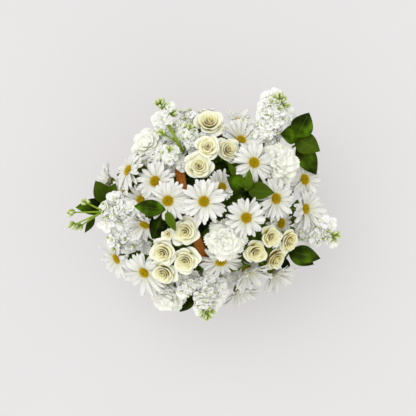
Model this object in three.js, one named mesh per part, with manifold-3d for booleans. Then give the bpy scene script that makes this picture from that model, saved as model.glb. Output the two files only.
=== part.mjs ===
// A floral table centerpiece: white daisies, cream spray roses, white carnations and white stock with
// glossy green leaves, cut short and set in a block of wet foam, in a lined willow basket bowl whose
// bentwood handle arches between the blooms.
//
// Millimetres, +Z up. The origin is the middle of the basket's foot, on the table. +X is the right of
// the arrangement and +Y its far side, as it is seen from above.

import * as THREE from 'three';
import { mergeVertices } from 'three/addons/utils/BufferGeometryUtils.js';
import Module from 'manifold-3d';

const wasm = await Module();
wasm.setup();

// ---------------------------------------------------------------------------------------------
// Driving dimensions
// ---------------------------------------------------------------------------------------------

const GAP = 0.35; // clear space left between two pieces that touch
const BOWL = {
  footRadius: 80, footHeight: 7, rimRadius: 104, height: 78, wall: 5.5, floor: 6,
  weave: 3, stakes: 28, bands: 4, seam: 2.2,
};
const RIM_BAND = { thickness: 3, height: 14, standsProud: 2 };
const LINER = { wall: 1.2, floor: 1.4, top: 74, sides: 16 };
const FOAM = { length: 120, width: 112, top: 98, corner: 20 };
const HANDLE = { width: 13, thickness: 2.6, top: 239, turned: 15, leansLeft: 27, endsAt: 58 };
const NAIL = { shank: 1.4, head: 3, headThickness: 1.6, height: 71 };
const DOME = { halfWidth: 165, halfDepth: 150, foot: 110, rise: 150 };
const STEM = { main: 2.3, neck: 1.5, carnation: 2.1, stock: 2.4, leafy: 1.4, clearance: 0.6 };
const STEM_ENDS_AT = 60; // how far down in the foam the cut stems stand
const DAISY = { hole: 4.2, rayRoot: 9.5, rayThickness: 0.8, backOfHead: 9 };
const FLORETS = { groove: 0.36, tier: 15 };
const LEAF = { thickness: 0.9, arch: 3, fold: 1.4 };

const COLOURS = {
  willow: 0x8a5a2b,
  bentwood: 0x9b5a24,
  brass: 0xb08d4a,
  liner: 0x26331f,
  foam: 0x3d5a32,
  ray: 0xf2f3ee,
  disc: 0xc99a12,
  rose: 0xf1ead0,
  carnation: 0xf3f1e4,
  stock: 0xf4f5ee,
  leaf: 0x2f5016,
};

// ---------------------------------------------------------------------------------------------
// The layout. Each head has its place above the foot's middle (x, y), how far it stands above or
// below the dome that the heads follow (lift), how far it tips from facing straight up (lean, in
// degrees, outwards unless 'toward' gives a compass angle from +X), and its size across.
// ---------------------------------------------------------------------------------------------

const DAISIES = [
  { name: 'daisy_crown', spray: 'crown', x: -4, y: 6, lift: 10, lean: 3, width: 64, rays: 10 },
  { name: 'daisy_crown_right', spray: 'crown', x: 53, y: -16, lift: 10, lean: 12, width: 58, rays: 10 },
  { name: 'daisy_inner', spray: 'crown', x: 20, y: 27, lift: -20, lean: 20, width: 46, rays: 10 },
  { name: 'daisy_crown_left', spray: 'left', x: -55, y: 7, lift: 2, lean: 12, width: 60, rays: 10 },
  { name: 'daisy_left_shoulder', spray: 'left', x: -73, y: 36, lift: -12, lean: 22, width: 58, rays: 10 },
  { name: 'daisy_left_inner', spray: 'left', x: -91, y: 8, lift: -34, lean: 30, width: 50, rays: 10 },
  { name: 'daisy_right_shoulder', spray: 'right_back', x: 64, y: 59, lift: 6, lean: 20, width: 60, rays: 10 },
  { name: 'daisy_back_inner', spray: 'right_back', x: 47, y: 94, lift: -24, lean: 40, width: 54, rays: 10 },
  { name: 'daisy_back_low', spray: 'right_back', x: 46, y: 128, lift: -44, lean: 66, width: 56, rays: 10 },
  { name: 'daisy_right', spray: 'right', x: 98, y: 10, lift: 2, lean: 30, width: 62, rays: 10 },
  { name: 'daisy_far_right', spray: 'right', x: 136, y: 37, lift: -4, lean: 48, width: 54, rays: 10 },
  { name: 'daisy_right_edge', spray: 'right', x: 139, y: -4, lift: -16, lean: 60, width: 60, rays: 10 },
  { name: 'daisy_right_low', spray: 'right', x: 106, y: -24, lift: -34, lean: 46, width: 50, rays: 10 },
  { name: 'daisy_front_left', spray: 'front_left', x: -90, y: -93, lift: -2, lean: 42, width: 64, rays: 10 },
  { name: 'daisy_left_edge', spray: 'front_left', x: -128, y: -74, lift: -24, lean: 72, width: 58, rays: 10 },
  { name: 'daisy_left_low', spray: 'front_left', x: -86, y: -24, lift: -24, lean: 40, width: 54, rays: 10 },
  { name: 'daisy_front', spray: 'front', x: 19, y: -76, lift: -24, lean: 42, width: 58, rays: 10 },
  { name: 'daisy_front_middle', spray: 'front', x: 56, y: -100, lift: -36, lean: 58, width: 58, rays: 10 },
  { name: 'daisy_front_low', spray: 'front', x: 44, y: -126, lift: -50, lean: 80, width: 56, rays: 10 },
  { name: 'daisy_front_right', spray: 'front', x: 90, y: -104, lift: -48, lean: 74, width: 58, rays: 10 },
  { name: 'daisy_left_back', spray: 'left_back', x: -110, y: 50, lift: -4, lean: 56, width: 62, rays: 10 },
  { name: 'daisy_left_fold', spray: 'left_back', x: -112, y: 22, lift: -40, lean: 52, width: 44, rays: 9 },
  { name: 'daisy_left_bottom', spray: 'left_back', x: -138, y: 34, lift: -54, lean: 84, width: 54, rays: 10 },
];

const ROSES = [
  { spray: 'rose_spray_back', x: 1, y: 119, lift: 0, lean: 36, width: 42 },
  { spray: 'rose_spray_back', x: 0, y: 84, lift: 6, lean: 8, width: 34 },
  { spray: 'rose_spray_back', x: -11, y: 56, lift: -6, lean: 6, width: 37 },
  { spray: 'rose_spray_back', x: 30, y: 81, lift: -7, lean: 20, width: 32, toward: 20 },
  { spray: 'rose_spray_front_left', x: -30, y: -34, lift: -5, lean: 12, width: 37 },
  { spray: 'rose_spray_front_left', x: -55, y: -39, lift: 0, lean: 10, width: 18 },
  { spray: 'rose_spray_front_left', x: -62, y: -65, lift: 3, lean: 22, width: 37 },
  { spray: 'rose_spray_front_left', x: -30, y: -80, lift: 0, lean: 20, width: 34 },
  { spray: 'rose_spray_front_left', x: -62, y: -97, lift: -11, lean: 56, width: 31 },
  { spray: 'rose_spray_front_right', x: 90, y: -43, lift: 2, lean: 24, width: 31 },
  { spray: 'rose_spray_front_right', x: 68, y: -64, lift: -1, lean: 24, width: 33 },
  { spray: 'rose_spray_front_right', x: 116, y: -49, lift: -2, lean: 44, width: 33 },
  { spray: 'rose_spray_front_right', x: 97, y: -76, lift: -20, lean: 58, width: 32 },
];

const CARNATIONS = [
  { name: 'carnation_right', x: 103, y: 58, lift: -2, lean: 26, width: 60 },
  { name: 'carnation_front', x: 26, y: -47, lift: -2, lean: 12, width: 58 },
  { name: 'carnation_front_low', x: -55, y: -126, lift: -34, lean: 74, width: 54 },
  { name: 'carnation_left_back', x: -86, y: 90, lift: -24, lean: 58, width: 56 },
  { name: 'carnation_back', x: 0, y: 132, lift: -42, lean: 80, width: 50 },
];

// Each stem of stock carries one shoot or more, and each runs from its lowest florets to its tip. A
// foot is where the cut stem stands in the foam, for a stem that has to pass beside the handle.
const STOCKS = [
  {
    name: 'stock_back_left',
    foot: [-21, 40],
    shoots: [{ from: [-58, 118, 196], to: [-66, 150, 220], reach: 18 }],
  },
  { name: 'stock_back_right', shoots: [{ from: [82, 98, 194], to: [101, 150, 222], reach: 24 }] },
  { name: 'stock_left', shoots: [{ from: [-112, -6, 188], to: [-174, -10, 196], reach: 24 }] },
  { name: 'stock_right', shoots: [{ from: [136, -34, 156], to: [180, -42, 168], reach: 22 }] },
  {
    name: 'stock_front',
    foot: [-14, -28],
    shoots: [{ from: [-6, -102, 182], to: [-1, -152, 190], reach: 24 }],
  },
  {
    name: 'stock_back',
    foot: [-6, 26],
    shoots: [
      { from: [-20, 86, 212], to: [-25, 106, 236], reach: 18 },
      { from: [-21, 116, 182], to: [-27, 138, 198], reach: 16 },
    ],
  },
  { name: 'stock_crown', shoots: [{ from: [-50, 60, 210], to: [-52, 76, 238], reach: 20 }] },
  { name: 'stock_front_left', shoots: [{ from: [-32, -108, 170], to: [-38, -134, 190], reach: 18 }] },
  { name: 'stock_left_low', shoots: [{ from: [-112, -42, 166], to: [-142, -54, 172], reach: 24 }] },
];

// Each leafy stem carries leaves at these places: the leaf's root, its tip and its width.
const LEAFY_STEMS = [
  {
    name: 'leaves_back_right',
    blades: [
      { root: [128, 88, 184], tip: [152, 44, 182], width: 24 },
      { root: [126, 92, 192], tip: [158, 78, 200], width: 26 },
      { root: [124, 96, 200], tip: [112, 122, 212], width: 22 },
      { root: [125, 98, 204], tip: [142, 130, 216], width: 28 },
    ],
  },
  {
    name: 'leaves_left',
    blades: [
      { root: [-141, 0, 148], tip: [-187, -2, 154], width: 24 },
      { root: [-141, 5, 157], tip: [-158, 36, 170], width: 26 },
      { root: [-139, 9, 166], tip: [-129, 32, 180], width: 18 },
    ],
  },
  {
    name: 'leaves_crown_left',
    blades: [
      { root: [-60, -10, 226], tip: [-76, -46, 220], width: 25 },
      { root: [-59, -8, 238], tip: [-100, -2, 250], width: 22 },
      { root: [-57, -9, 244], tip: [-45, -36, 256], width: 13 },
    ],
  },
  {
    name: 'leaves_crown_right',
    blades: [
      { root: [53, 20, 236], tip: [27, 40, 252], width: 22 },
      { root: [56, 20, 246], tip: [92, 14, 259], width: 24 },
      { root: [55, 22, 250], tip: [52, 50, 268], width: 12 },
    ],
  },
  {
    name: 'leaves_front_right',
    blades: [
      { root: [112, -76, 152], tip: [114, -100, 144], width: 18 },
      { root: [116, -72, 158], tip: [152, -92, 158], width: 22 },
      { root: [118, -70, 166], tip: [160, -80, 174], width: 26 },
    ],
  },
  {
    name: 'leaves_front_left',
    blades: [
      { root: [-22, -118, 128], tip: [-62, -138, 116], width: 22 },
      { root: [-20, -124, 136], tip: [8, -148, 136], width: 20 },
      { root: [-20, -128, 144], tip: [-40, -156, 150], width: 20 },
    ],
  },
];

// ---------------------------------------------------------------------------------------------
// Solids
// ---------------------------------------------------------------------------------------------

const UP = new THREE.Vector3(0, 0, 1);
const vec = (list) => new THREE.Vector3(...list);
const radians = (degrees) => (degrees * Math.PI) / 180;

// A seeded random number from 0 to 1, so that every build is the same.
function seeded(seed) {
  let state = seed >>> 0;
  return () => {
    state = (state + 0x6d2b79f5) >>> 0;
    let mixed = Math.imul(state ^ (state >>> 15), 1 | state);
    mixed = (mixed + Math.imul(mixed ^ (mixed >>> 7), 61 | mixed)) ^ mixed;
    return ((mixed ^ (mixed >>> 14)) >>> 0) / 4294967296;
  };
}

// A closed three.js geometry as a manifold solid with its faces turned out.
function solidOf(geometry, matrix = new THREE.Matrix4()) {
  const bare = geometry.clone();
  bare.deleteAttribute('normal');
  bare.deleteAttribute('uv');
  const merged = mergeVertices(bare.applyMatrix4(matrix), 1e-3);
  const vertProperties = merged.attributes.position.array;
  const triVerts = new Uint32Array(merged.index.array);
  const solid = new wasm.Manifold(new wasm.Mesh({ numProp: 3, vertProperties, triVerts }));
  if (solid.volume() >= 0) return solid;
  for (let i = 0; i < triVerts.length; i += 3) {
    [triVerts[i + 1], triVerts[i + 2]] = [triVerts[i + 2], triVerts[i + 1]];
  }
  return new wasm.Manifold(new wasm.Mesh({ numProp: 3, vertProperties, triVerts }));
}

const joined = (solids) => wasm.Manifold.union(solids);

function geometryOf(solid) {
  const mesh = solid.getMesh();
  const geometry = new THREE.BufferGeometry();
  geometry.setAttribute('position', new THREE.BufferAttribute(mesh.vertProperties, 3));
  geometry.setIndex(new THREE.BufferAttribute(mesh.triVerts, 1));
  geometry.computeVertexNormals();
  return geometry;
}

function geometryFrom(points, faces) {
  const geometry = new THREE.BufferGeometry();
  const numbers = points.flatMap((p) => p.toArray());
  geometry.setAttribute('position', new THREE.Float32BufferAttribute(numbers, 3));
  geometry.setIndex(faces.flat());
  return geometry;
}

// A closed surface through rings of points. A row of one point is a pole, and an end row that is a
// ring gets a flat cap, unless the rows come back to the first one.
function ringSurface(rows, comesBack = false) {
  const starts = rows.map((_, i) => rows.slice(0, i).flat().length);
  const faces = [];
  const bands = comesBack ? rows.length : rows.length - 1;
  for (let i = 0; i < bands; i += 1) {
    const next = (i + 1) % rows.length;
    const sides = Math.max(rows[i].length, rows[next].length);
    const low = (n) => starts[i] + (rows[i].length === 1 ? 0 : n % sides);
    const high = (n) => starts[next] + (rows[next].length === 1 ? 0 : n % sides);
    for (let j = 0; j < sides; j += 1) {
      if (rows[i].length > 1) faces.push([low(j), low(j + 1), high(j)]);
      if (rows[next].length > 1) faces.push([low(j + 1), high(j + 1), high(j)]);
    }
  }
  if (!comesBack) {
    const end = starts[rows.length - 1];
    for (let j = 1; j + 1 < rows[0].length; j += 1) faces.push([0, j + 1, j]);
    for (let j = 1; j + 1 < rows[rows.length - 1].length; j += 1) faces.push([end, end + j, end + j + 1]);
  }
  return geometryFrom(rows.flat(), faces);
}

// A row of points round the Z axis. Lobes swell and sink it, and dip moves them down and up.
function roundRow(sides, radius, height, { lobes = 0, depth = 0, dip = 0, turn = 0 } = {}) {
  return Array.from({ length: sides }, (_, i) => {
    const angle = ((i + turn) / sides) * 2 * Math.PI;
    const lobe = lobes ? Math.cos(lobes * angle) : 0;
    const out = radius * (1 + depth * lobe);
    return new THREE.Vector3(out * Math.cos(angle), out * Math.sin(angle), height + dip * lobe);
  });
}

const poleRow = (height) => [new THREE.Vector3(0, 0, height)];

// A profile of [radius, height] pairs turned about +Z.
function turned(profile, sides) {
  const points = profile.map(([radius, height]) => new THREE.Vector2(radius, height));
  return new THREE.LatheGeometry(points, sides).rotateX(Math.PI / 2);
}

// A stem through stations, each a ring of its own radius square to the way the stem runs there. A
// station with no radius is a point.
function swept(stations, sides, extra = 0) {
  let across = null;
  const rows = stations.map(({ at, along, radius }) => {
    if (radius === 0) return [at.clone().addScaledVector(along, extra)];
    const guess = across ?? new THREE.Vector3(0.31, 0.87, -0.22);
    across = guess.clone().addScaledVector(along, -guess.dot(along)).normalize();
    const other = new THREE.Vector3().crossVectors(along, across);
    return Array.from({ length: sides }, (_, i) => {
      const angle = (i / sides) * 2 * Math.PI;
      return at.clone()
        .addScaledVector(across, (radius + extra) * Math.cos(angle))
        .addScaledVector(other, (radius + extra) * Math.sin(angle));
    });
  });
  return solidOf(ringSurface(rows));
}

// A thin closed plate: the faces given, the same faces set back by its thickness, and its edges.
function thickPlate(points, faces, setBack) {
  const back = points.map((p) => p.clone().sub(setBack));
  const count = points.length;
  const edges = new Set(faces.flatMap(([a, b, c]) => [`${a},${b}`, `${b},${c}`, `${c},${a}`]));
  const sides = [];
  for (const edge of edges) {
    const [a, b] = edge.split(',').map(Number);
    if (edges.has(`${b},${a}`)) continue;
    sides.push([b, a, a + count], [b, a + count, b + count]);
  }
  const under = faces.map(([a, b, c]) => [a + count, c + count, b + count]);
  return geometryFrom([...points, ...back], [...faces, ...under, ...sides]);
}

// ---------------------------------------------------------------------------------------------
// Places and stems
// ---------------------------------------------------------------------------------------------

const domeHeight = (x, y) => {
  const out = (x / DOME.halfWidth) ** 2 + (y / DOME.halfDepth) ** 2;
  return DOME.foot + DOME.rise * Math.sqrt(Math.max(0, 1 - out));
};

// A frame that carries +Z onto a direction at a place.
function facingMatrix(at, direction, roll = 0) {
  const turn = new THREE.Quaternion().setFromUnitVectors(UP, direction.clone().normalize());
  turn.multiply(new THREE.Quaternion().setFromAxisAngle(UP, roll));
  return new THREE.Matrix4().compose(at, turn, new THREE.Vector3(1, 1, 1));
}

// Where a head sits and which way it faces.
function placeOf(head, roll) {
  const at = new THREE.Vector3(head.x, head.y, domeHeight(head.x, head.y) + head.lift);
  const toward = head.toward === undefined ? Math.atan2(head.y, head.x) : radians(head.toward);
  const lean = radians(head.lean);
  const out = Math.sin(lean);
  const facing = new THREE.Vector3(out * Math.cos(toward), out * Math.sin(toward), Math.cos(lean));
  return { at, facing, matrix: facingMatrix(at, facing, roll) };
}

const middleOf = (points) =>
  points.reduce((sum, p) => sum.add(p), new THREE.Vector3()).divideScalar(points.length);

// Where a cut stem stands in the foam, in from under the heads that it carries.
function foamPoint(points) {
  const middle = middleOf(points);
  return new THREE.Vector3(middle.x * 0.36, middle.y * 0.36, STEM_ENDS_AT);
}

// The straight main stem from the foam to where it forks.
function mainStem(foot, fork, radius) {
  const along = fork.clone().sub(foot).normalize();
  return [{ at: foot, along, radius }, { at: fork.clone().addScaledVector(along, 1.5), along, radius }];
}

// A neck that leaves the fork and bends round into the back of a head.
function neck(fork, at, facing, depth, radius, shares) {
  const end = at.clone().addScaledVector(facing, -depth);
  const bend = end.clone().addScaledVector(facing, -0.3 * fork.distanceTo(end));
  const curve = new THREE.QuadraticBezierCurve3(fork, bend, end);
  return shares.map((share) => ({ at: curve.getPoint(share), along: curve.getTangent(share), radius }));
}

// Every stem as a solid, and the room that the other flowers leave it.
function stemwork(parts) {
  return {
    stems: joined(parts.map(([stations, sides]) => swept(stations, sides))),
    stemRoom: joined(parts.map(([stations, sides]) => swept(stations, sides, STEM.clearance))),
  };
}

// Everything that grows: its name and colour, its stems, its heads, the room that each of them
// takes, and its height. Heads give way to higher ones, and to every stem.
const grown = [];

// ---------------------------------------------------------------------------------------------
// Daisies: a ring of white rays held between a green calyx and a yellow disc
// ---------------------------------------------------------------------------------------------

function rayRing(width, rays, random) {
  const pitch = (2 * Math.PI) / rays;
  const points = [];
  const faces = [];
  const polar = (radius, angle, height) =>
    points.push(new THREE.Vector3(radius * Math.cos(angle), radius * Math.sin(angle), height)) - 1;
  const holes = Array.from({ length: rays }, (_, i) => polar(DAISY.hole, (i - 0.5) * pitch, 0));
  const roots = Array.from({ length: rays }, (_, i) => polar(DAISY.rayRoot, (i - 0.5) * pitch, 0));
  for (let i = 0; i < rays; i += 1) {
    const next = (i + 1) % rays;
    const reach = (width / 2) * (0.93 + 0.09 * random());
    const raised = (i % 2 ? 1.7 : 0.2) + 0.8 * random();
    const angle = (i + (random() - 0.5) * 0.1) * pitch;
    const left = polar(reach * 0.68, angle - pitch * 0.43, raised);
    const right = polar(reach * 0.68, angle + pitch * 0.43, raised);
    const tips = width >= 60 ? [-0.2, 0.2] : [0];
    const ends = tips.map((tip) => polar(reach, angle + tip * pitch, raised * 0.6));
    faces.push([holes[i], roots[i], roots[next]], [holes[i], roots[next], holes[next]]);
    faces.push([roots[i], left, right], [roots[i], right, roots[next]]);
    faces.push([left, ends[0], right]);
    if (ends.length === 2) faces.push([ends[0], ends[1], right]);
  }
  return thickPlate(points, faces, new THREE.Vector3(0, 0, DAISY.rayThickness));
}

// The calyx behind the rays, the waist that they sit on, and the domed disc in front.
function discStations({ at, facing }) {
  const station = (height, radius) => {
    return { at: at.clone().addScaledVector(facing, height), along: facing, radius };
  };
  return [station(-2, 5.4), station(-0.4, 2.6), station(1.6, 7), station(4.2, 5.2), station(5.3, 0)];
}

// The room that a daisy's rays take up.
function rayRoom(width) {
  const reach = width / 2 + 1.2;
  return turned([[0, -2.3], [reach, -1.7], [reach, 2.9], [0, 6.4]], 12);
}

function growDaisies() {
  let seed = 11;
  for (const [spray, heads] of Map.groupBy(DAISIES, (daisy) => daisy.spray)) {
    const placed = heads.map((head) => {
      seed += 1;
      const random = seeded(seed);
      return { head, random, ...placeOf(head, random() * Math.PI) };
    });
    const places = placed.map((p) => p.at);
    const foot = foamPoint(places);
    const fork = foot.clone().lerp(middleOf(places), 0.42);
    const stems = placed.map((p) => {
      const bent = neck(fork, p.at, p.facing, DAISY.backOfHead, STEM.neck, [0, 0.6, 1]);
      return [[...bent, ...discStations(p)], 6];
    });
    grown.push({
      name: `daisy_stems_${spray}`,
      colour: 'disc',
      family: spray,
      ...stemwork([[mainStem(foot, fork, STEM.main), 4], ...stems]),
    });
    for (const p of placed) {
      grown.push({
        name: p.head.name,
        colour: 'ray',
        family: spray,
        matrix: p.matrix,
        heads: solidOf(rayRing(p.head.width, p.head.rays, p.random), p.matrix),
        room: solidOf(rayRoom(p.head.width), p.matrix),
        height: p.at.z,
      });
    }
  }
}

// ---------------------------------------------------------------------------------------------
// Roses and carnations: petals as rings of scalloped or ruffled rims, one within the next
// ---------------------------------------------------------------------------------------------

function roseHead(width) {
  const r = width / 2;
  const sides = 10;
  return ringSurface([
    poleRow(-0.86 * r),
    roundRow(sides, 0.62 * r, -0.62 * r),
    roundRow(sides, 0.97 * r, -0.16 * r, { lobes: 5, depth: 0.07, dip: -1.2 }),
    roundRow(sides, 0.79 * r, -0.1 * r),
    roundRow(sides, 0.72 * r, 0.26 * r, { lobes: 5, depth: -0.08, dip: 0.9 }),
    roundRow(sides, 0.5 * r, 0.04 * r),
    roundRow(sides, 0.42 * r, 0.38 * r, { lobes: 5, depth: 0.1, dip: 0.9 }),
    poleRow(0.08 * r),
  ]);
}

const roseRoom = (width) =>
  turned([[0, -0.46 * width], [0.38 * width, -0.36 * width], [0.57 * width, -0.12 * width],
    [0.46 * width, 0.18 * width], [0, 0.26 * width]], 10);

function growRoses() {
  let seed = 71;
  for (const [spray, heads] of Map.groupBy(ROSES, (rose) => rose.spray)) {
    const placed = heads.map((head) => {
      seed += 1;
      return { width: head.width, ...placeOf(head, seeded(seed)() * Math.PI) };
    });
    const places = placed.map((p) => p.at);
    const foot = foamPoint(places);
    const fork = foot.clone().lerp(middleOf(places), 0.6);
    const stems = placed.map((p) => [neck(fork, p.at, p.facing, 0.36 * p.width, STEM.neck, [0, 0.5, 1]), 4]);
    grown.push({
      name: spray,
      colour: 'rose',
      family: spray,
      ...stemwork([[mainStem(foot, fork, STEM.main), 4], ...stems]),
      heads: joined(placed.map((p) => solidOf(roseHead(p.width), p.matrix))),
      room: joined(placed.map((p) => solidOf(roseRoom(p.width), p.matrix))),
      height: Math.max(...places.map((p) => p.z)),
    });
  }
}

function carnationHead(width, random) {
  const r = width / 2;
  const sides = 12;
  const ruffled = (radius, height, depth, wave) =>
    roundRow(sides, radius, height).map((p, i) => {
      const sign = i % 2 ? 1 : -1;
      const out = 1 + sign * depth * (0.6 + 0.7 * random());
      return new THREE.Vector3(p.x * out, p.y * out, p.z - sign * wave * random());
    });
  return ringSurface([
    poleRow(-0.95 * r),
    roundRow(sides, 0.42 * r, -0.74 * r),
    ruffled(0.93 * r, -0.22 * r, 0.05, 2.4),
    roundRow(sides, 0.78 * r, -0.04 * r),
    ruffled(0.8 * r, 0.18 * r, 0.07, 2.4),
    roundRow(sides, 0.56 * r, 0.16 * r),
    ruffled(0.54 * r, 0.42 * r, 0.1, 2.2),
    roundRow(sides, 0.28 * r, 0.3 * r),
    ruffled(0.22 * r, 0.54 * r, 0.16, 1.6),
    poleRow(0.36 * r),
  ]);
}

const carnationRoom = (width) =>
  turned([[0, -0.5 * width], [0.18 * width, -0.42 * width], [0.42 * width, -0.25 * width],
    [0.54 * width, -0.12 * width], [0.47 * width, 0.15 * width], [0.3 * width, 0.27 * width],
    [0, 0.32 * width]], 12);

function growCarnations() {
  CARNATIONS.forEach((head, i) => {
    const random = seeded(131 + i);
    const p = placeOf(head, random());
    const foot = foamPoint([p.at]);
    const stem = neck(foot, p.at, p.facing, 0.43 * head.width, STEM.carnation, [0, 0.3, 0.65, 1]);
    grown.push({
      name: head.name,
      colour: 'carnation',
      family: head.name,
      ...stemwork([[stem, 4]]),
      heads: solidOf(carnationHead(head.width, random), p.matrix),
      room: solidOf(carnationRoom(head.width), p.matrix),
      height: p.at.z,
    });
  });
}

// ---------------------------------------------------------------------------------------------
// Stock: tiers of frilled florets packed round a stem, smaller towards the buds at its tip
// ---------------------------------------------------------------------------------------------

// Three points for each floret of a tier: the notch beside it and its two frilled edges.
function floretTier(round, reach, height, turn, random) {
  return roundRow(3 * round, reach, height, { turn }).map((p, j) => {
    const isNotch = j % 3 === 0;
    const out = isNotch ? 0.6 : 0.94 + 0.14 * random();
    return new THREE.Vector3(p.x * out, p.y * out, p.z + (isNotch ? 1.5 : -3.5 + 4 * random()));
  });
}

function shootHead({ from, to, reach }, random) {
  const axis = vec(to).sub(vec(from));
  const length = axis.length();
  const tiers = Math.max(2, Math.round(length / FLORETS.tier));
  const round = reach > 20 ? 5 : 4;
  const rows = [poleRow(-9)];
  for (let i = 0; i < tiers; i += 1) {
    const share = i / tiers;
    const out = reach * (1 - 0.5 * share);
    const height = share * length;
    rows.push(floretTier(round, out, height, 1.5 * i, random));
    rows.push(roundRow(3 * round, FLORETS.groove * out, height + 4, { turn: 1.5 * i + 0.75 }));
  }
  rows.push(poleRow(length + 9));
  return solidOf(ringSurface(rows), facingMatrix(vec(from), axis));
}

function shootRoom({ from, to, reach }) {
  const axis = vec(to).sub(vec(from));
  const length = axis.length();
  const wide = reach * 1.14;
  const profile = [[0, -11], [wide, -5], [wide, 4], [wide * 0.66, length * 0.8],
    [wide * 0.36, length + 4], [0, length + 11]];
  return solidOf(turned(profile, 10), facingMatrix(vec(from), axis));
}

function growStock() {
  STOCKS.forEach(({ name, foot: stands, shoots }, i) => {
    const random = seeded(211 + i);
    const starts = shoots.map((shoot) => vec(shoot.from));
    const foot = stands ? new THREE.Vector3(...stands, STEM_ENDS_AT) : foamPoint(starts);
    const fork = shoots.length > 1 ? foot.clone().lerp(middleOf(starts), 0.5) : foot;
    const stems = shoots.map((shoot) => {
      const axis = vec(shoot.to).sub(vec(shoot.from)).normalize();
      return [neck(fork, vec(shoot.from), axis, 0, STEM.stock, [0, 0.35, 0.7, 1]), 4];
    });
    if (shoots.length > 1) stems.push([mainStem(foot, fork, STEM.stock), 4]);
    grown.push({
      name,
      colour: 'stock',
      family: name,
      ...stemwork(stems),
      heads: joined(shoots.map((shoot) => shootHead(shoot, random))),
      room: joined(shoots.map(shootRoom)),
      height: middleOf(starts).z + 12,
    });
  });
}

// ---------------------------------------------------------------------------------------------
// Leaves: pointed oval blades, folded a little along the midrib and arched from root to tip
// ---------------------------------------------------------------------------------------------

function bladeFrame({ root, tip }) {
  const start = vec(root);
  const along = vec(tip).sub(start);
  const forward = along.clone().normalize();
  const side = new THREE.Vector3().crossVectors(forward, UP).normalize();
  const normal = new THREE.Vector3().crossVectors(side, forward).normalize();
  return { start, length: along.length(), forward, side, normal };
}

function leafBlade(blade) {
  const { start, length, forward, side, normal } = bladeFrame(blade);
  const spot = (share, across) =>
    start.clone()
      .addScaledVector(forward, share * length)
      .addScaledVector(side, (across * blade.width) / 2)
      .addScaledVector(normal, LEAF.fold * Math.abs(across) + LEAF.arch * Math.sin(Math.PI * share));
  const points = [
    spot(0, 0),
    spot(0.24, 0.72), spot(0.48, 1), spot(0.78, 0.62),
    spot(1, 0),
    spot(0.78, -0.62), spot(0.48, -1), spot(0.24, -0.72),
    spot(0.33, 0), spot(0.68, 0),
  ];
  const faces = [
    [0, 1, 8], [1, 2, 8], [2, 9, 8], [2, 3, 9], [3, 4, 9],
    [4, 5, 9], [5, 6, 9], [6, 8, 9], [6, 7, 8], [7, 0, 8],
  ];
  return solidOf(thickPlate(points, faces, normal.clone().multiplyScalar(LEAF.thickness)));
}

function leafRoom(blade) {
  const { start, length, forward, side, normal } = bladeFrame(blade);
  const middle = start.clone().addScaledVector(forward, length * 0.5).addScaledVector(normal, 2.2);
  const matrix = new THREE.Matrix4().makeBasis(forward, side, normal).setPosition(middle);
  return solidOf(new THREE.BoxGeometry(length + 2, blade.width + 2, 7), matrix);
}

function growLeaves() {
  for (const { name, blades } of LEAFY_STEMS) {
    const roots = blades.map((blade) => vec(blade.root));
    const foot = foamPoint([roots[0]]);
    const path = [foot, ...roots];
    const stations = path.map((at, i) => {
      const along = path[Math.min(i + 1, path.length - 1)].clone().sub(path[Math.max(0, i - 1)]).normalize();
      return { at, along, radius: i === path.length - 1 ? 1 : STEM.leafy };
    });
    const last = stations[stations.length - 1];
    stations.push({ ...last, at: last.at.clone().addScaledVector(last.along, 2.5), radius: 0 });
    grown.push({
      name,
      colour: 'leaf',
      family: name,
      ...stemwork([[stations, 4]]),
      heads: joined(blades.map(leafBlade)),
      room: joined(blades.map(leafRoom)),
      height: Math.max(...blades.map((blade) => (blade.root[2] + blade.tip[2]) / 2)),
    });
  }
}

growDaisies();
growRoses();
growCarnations();
growStock();
growLeaves();

// ---------------------------------------------------------------------------------------------
// The basket: a woven bowl, its liner, the foam, a rim band, and the handle nailed to it
// ---------------------------------------------------------------------------------------------

const bowlRadius = (z) => BOWL.footRadius + ((BOWL.rimRadius - BOWL.footRadius) * z) / BOWL.height;

// Bands of several rods pass in front of one stake and behind the next, and swap over at each seam.
function basketBowl() {
  const { footHeight, height, wall, floor, weave, stakes, bands, seam } = BOWL;
  const bandHeight = (height - footHeight) / bands;
  const wovenRow = (band, z) => roundRow(stakes, 1, z).map((p, j) => {
    const radius = bowlRadius(z) - ((band + j) % 2) * weave;
    return new THREE.Vector3(p.x * radius, p.y * radius, z);
  });
  const woven = Array.from({ length: bands }, (_, band) => {
    const low = footHeight + band * bandHeight + (band === 0 ? 0 : seam / 2);
    const high = footHeight + (band + 1) * bandHeight - (band === bands - 1 ? 0 : seam / 2);
    return [wovenRow(band, low), wovenRow(band, high)];
  });
  return ringSurface([
    poleRow(0),
    roundRow(stakes, bowlRadius(0), 0),
    ...woven.flat(),
    roundRow(stakes, bowlRadius(height) - wall, height),
    roundRow(stakes, bowlRadius(floor) - wall, floor),
    poleRow(floor),
  ]);
}

const linerBottom = BOWL.floor + GAP;

function linerPot() {
  const outer = (z) => bowlRadius(z) - BOWL.wall - 2 * GAP;
  const foot = outer(linerBottom) - 1;
  return turned([
    [0, linerBottom],
    [foot, linerBottom],
    [outer(LINER.top), LINER.top],
    [outer(LINER.top) - LINER.wall, LINER.top],
    [foot - LINER.wall, linerBottom + LINER.floor],
    [0, linerBottom + LINER.floor],
  ], LINER.sides);
}

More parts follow.
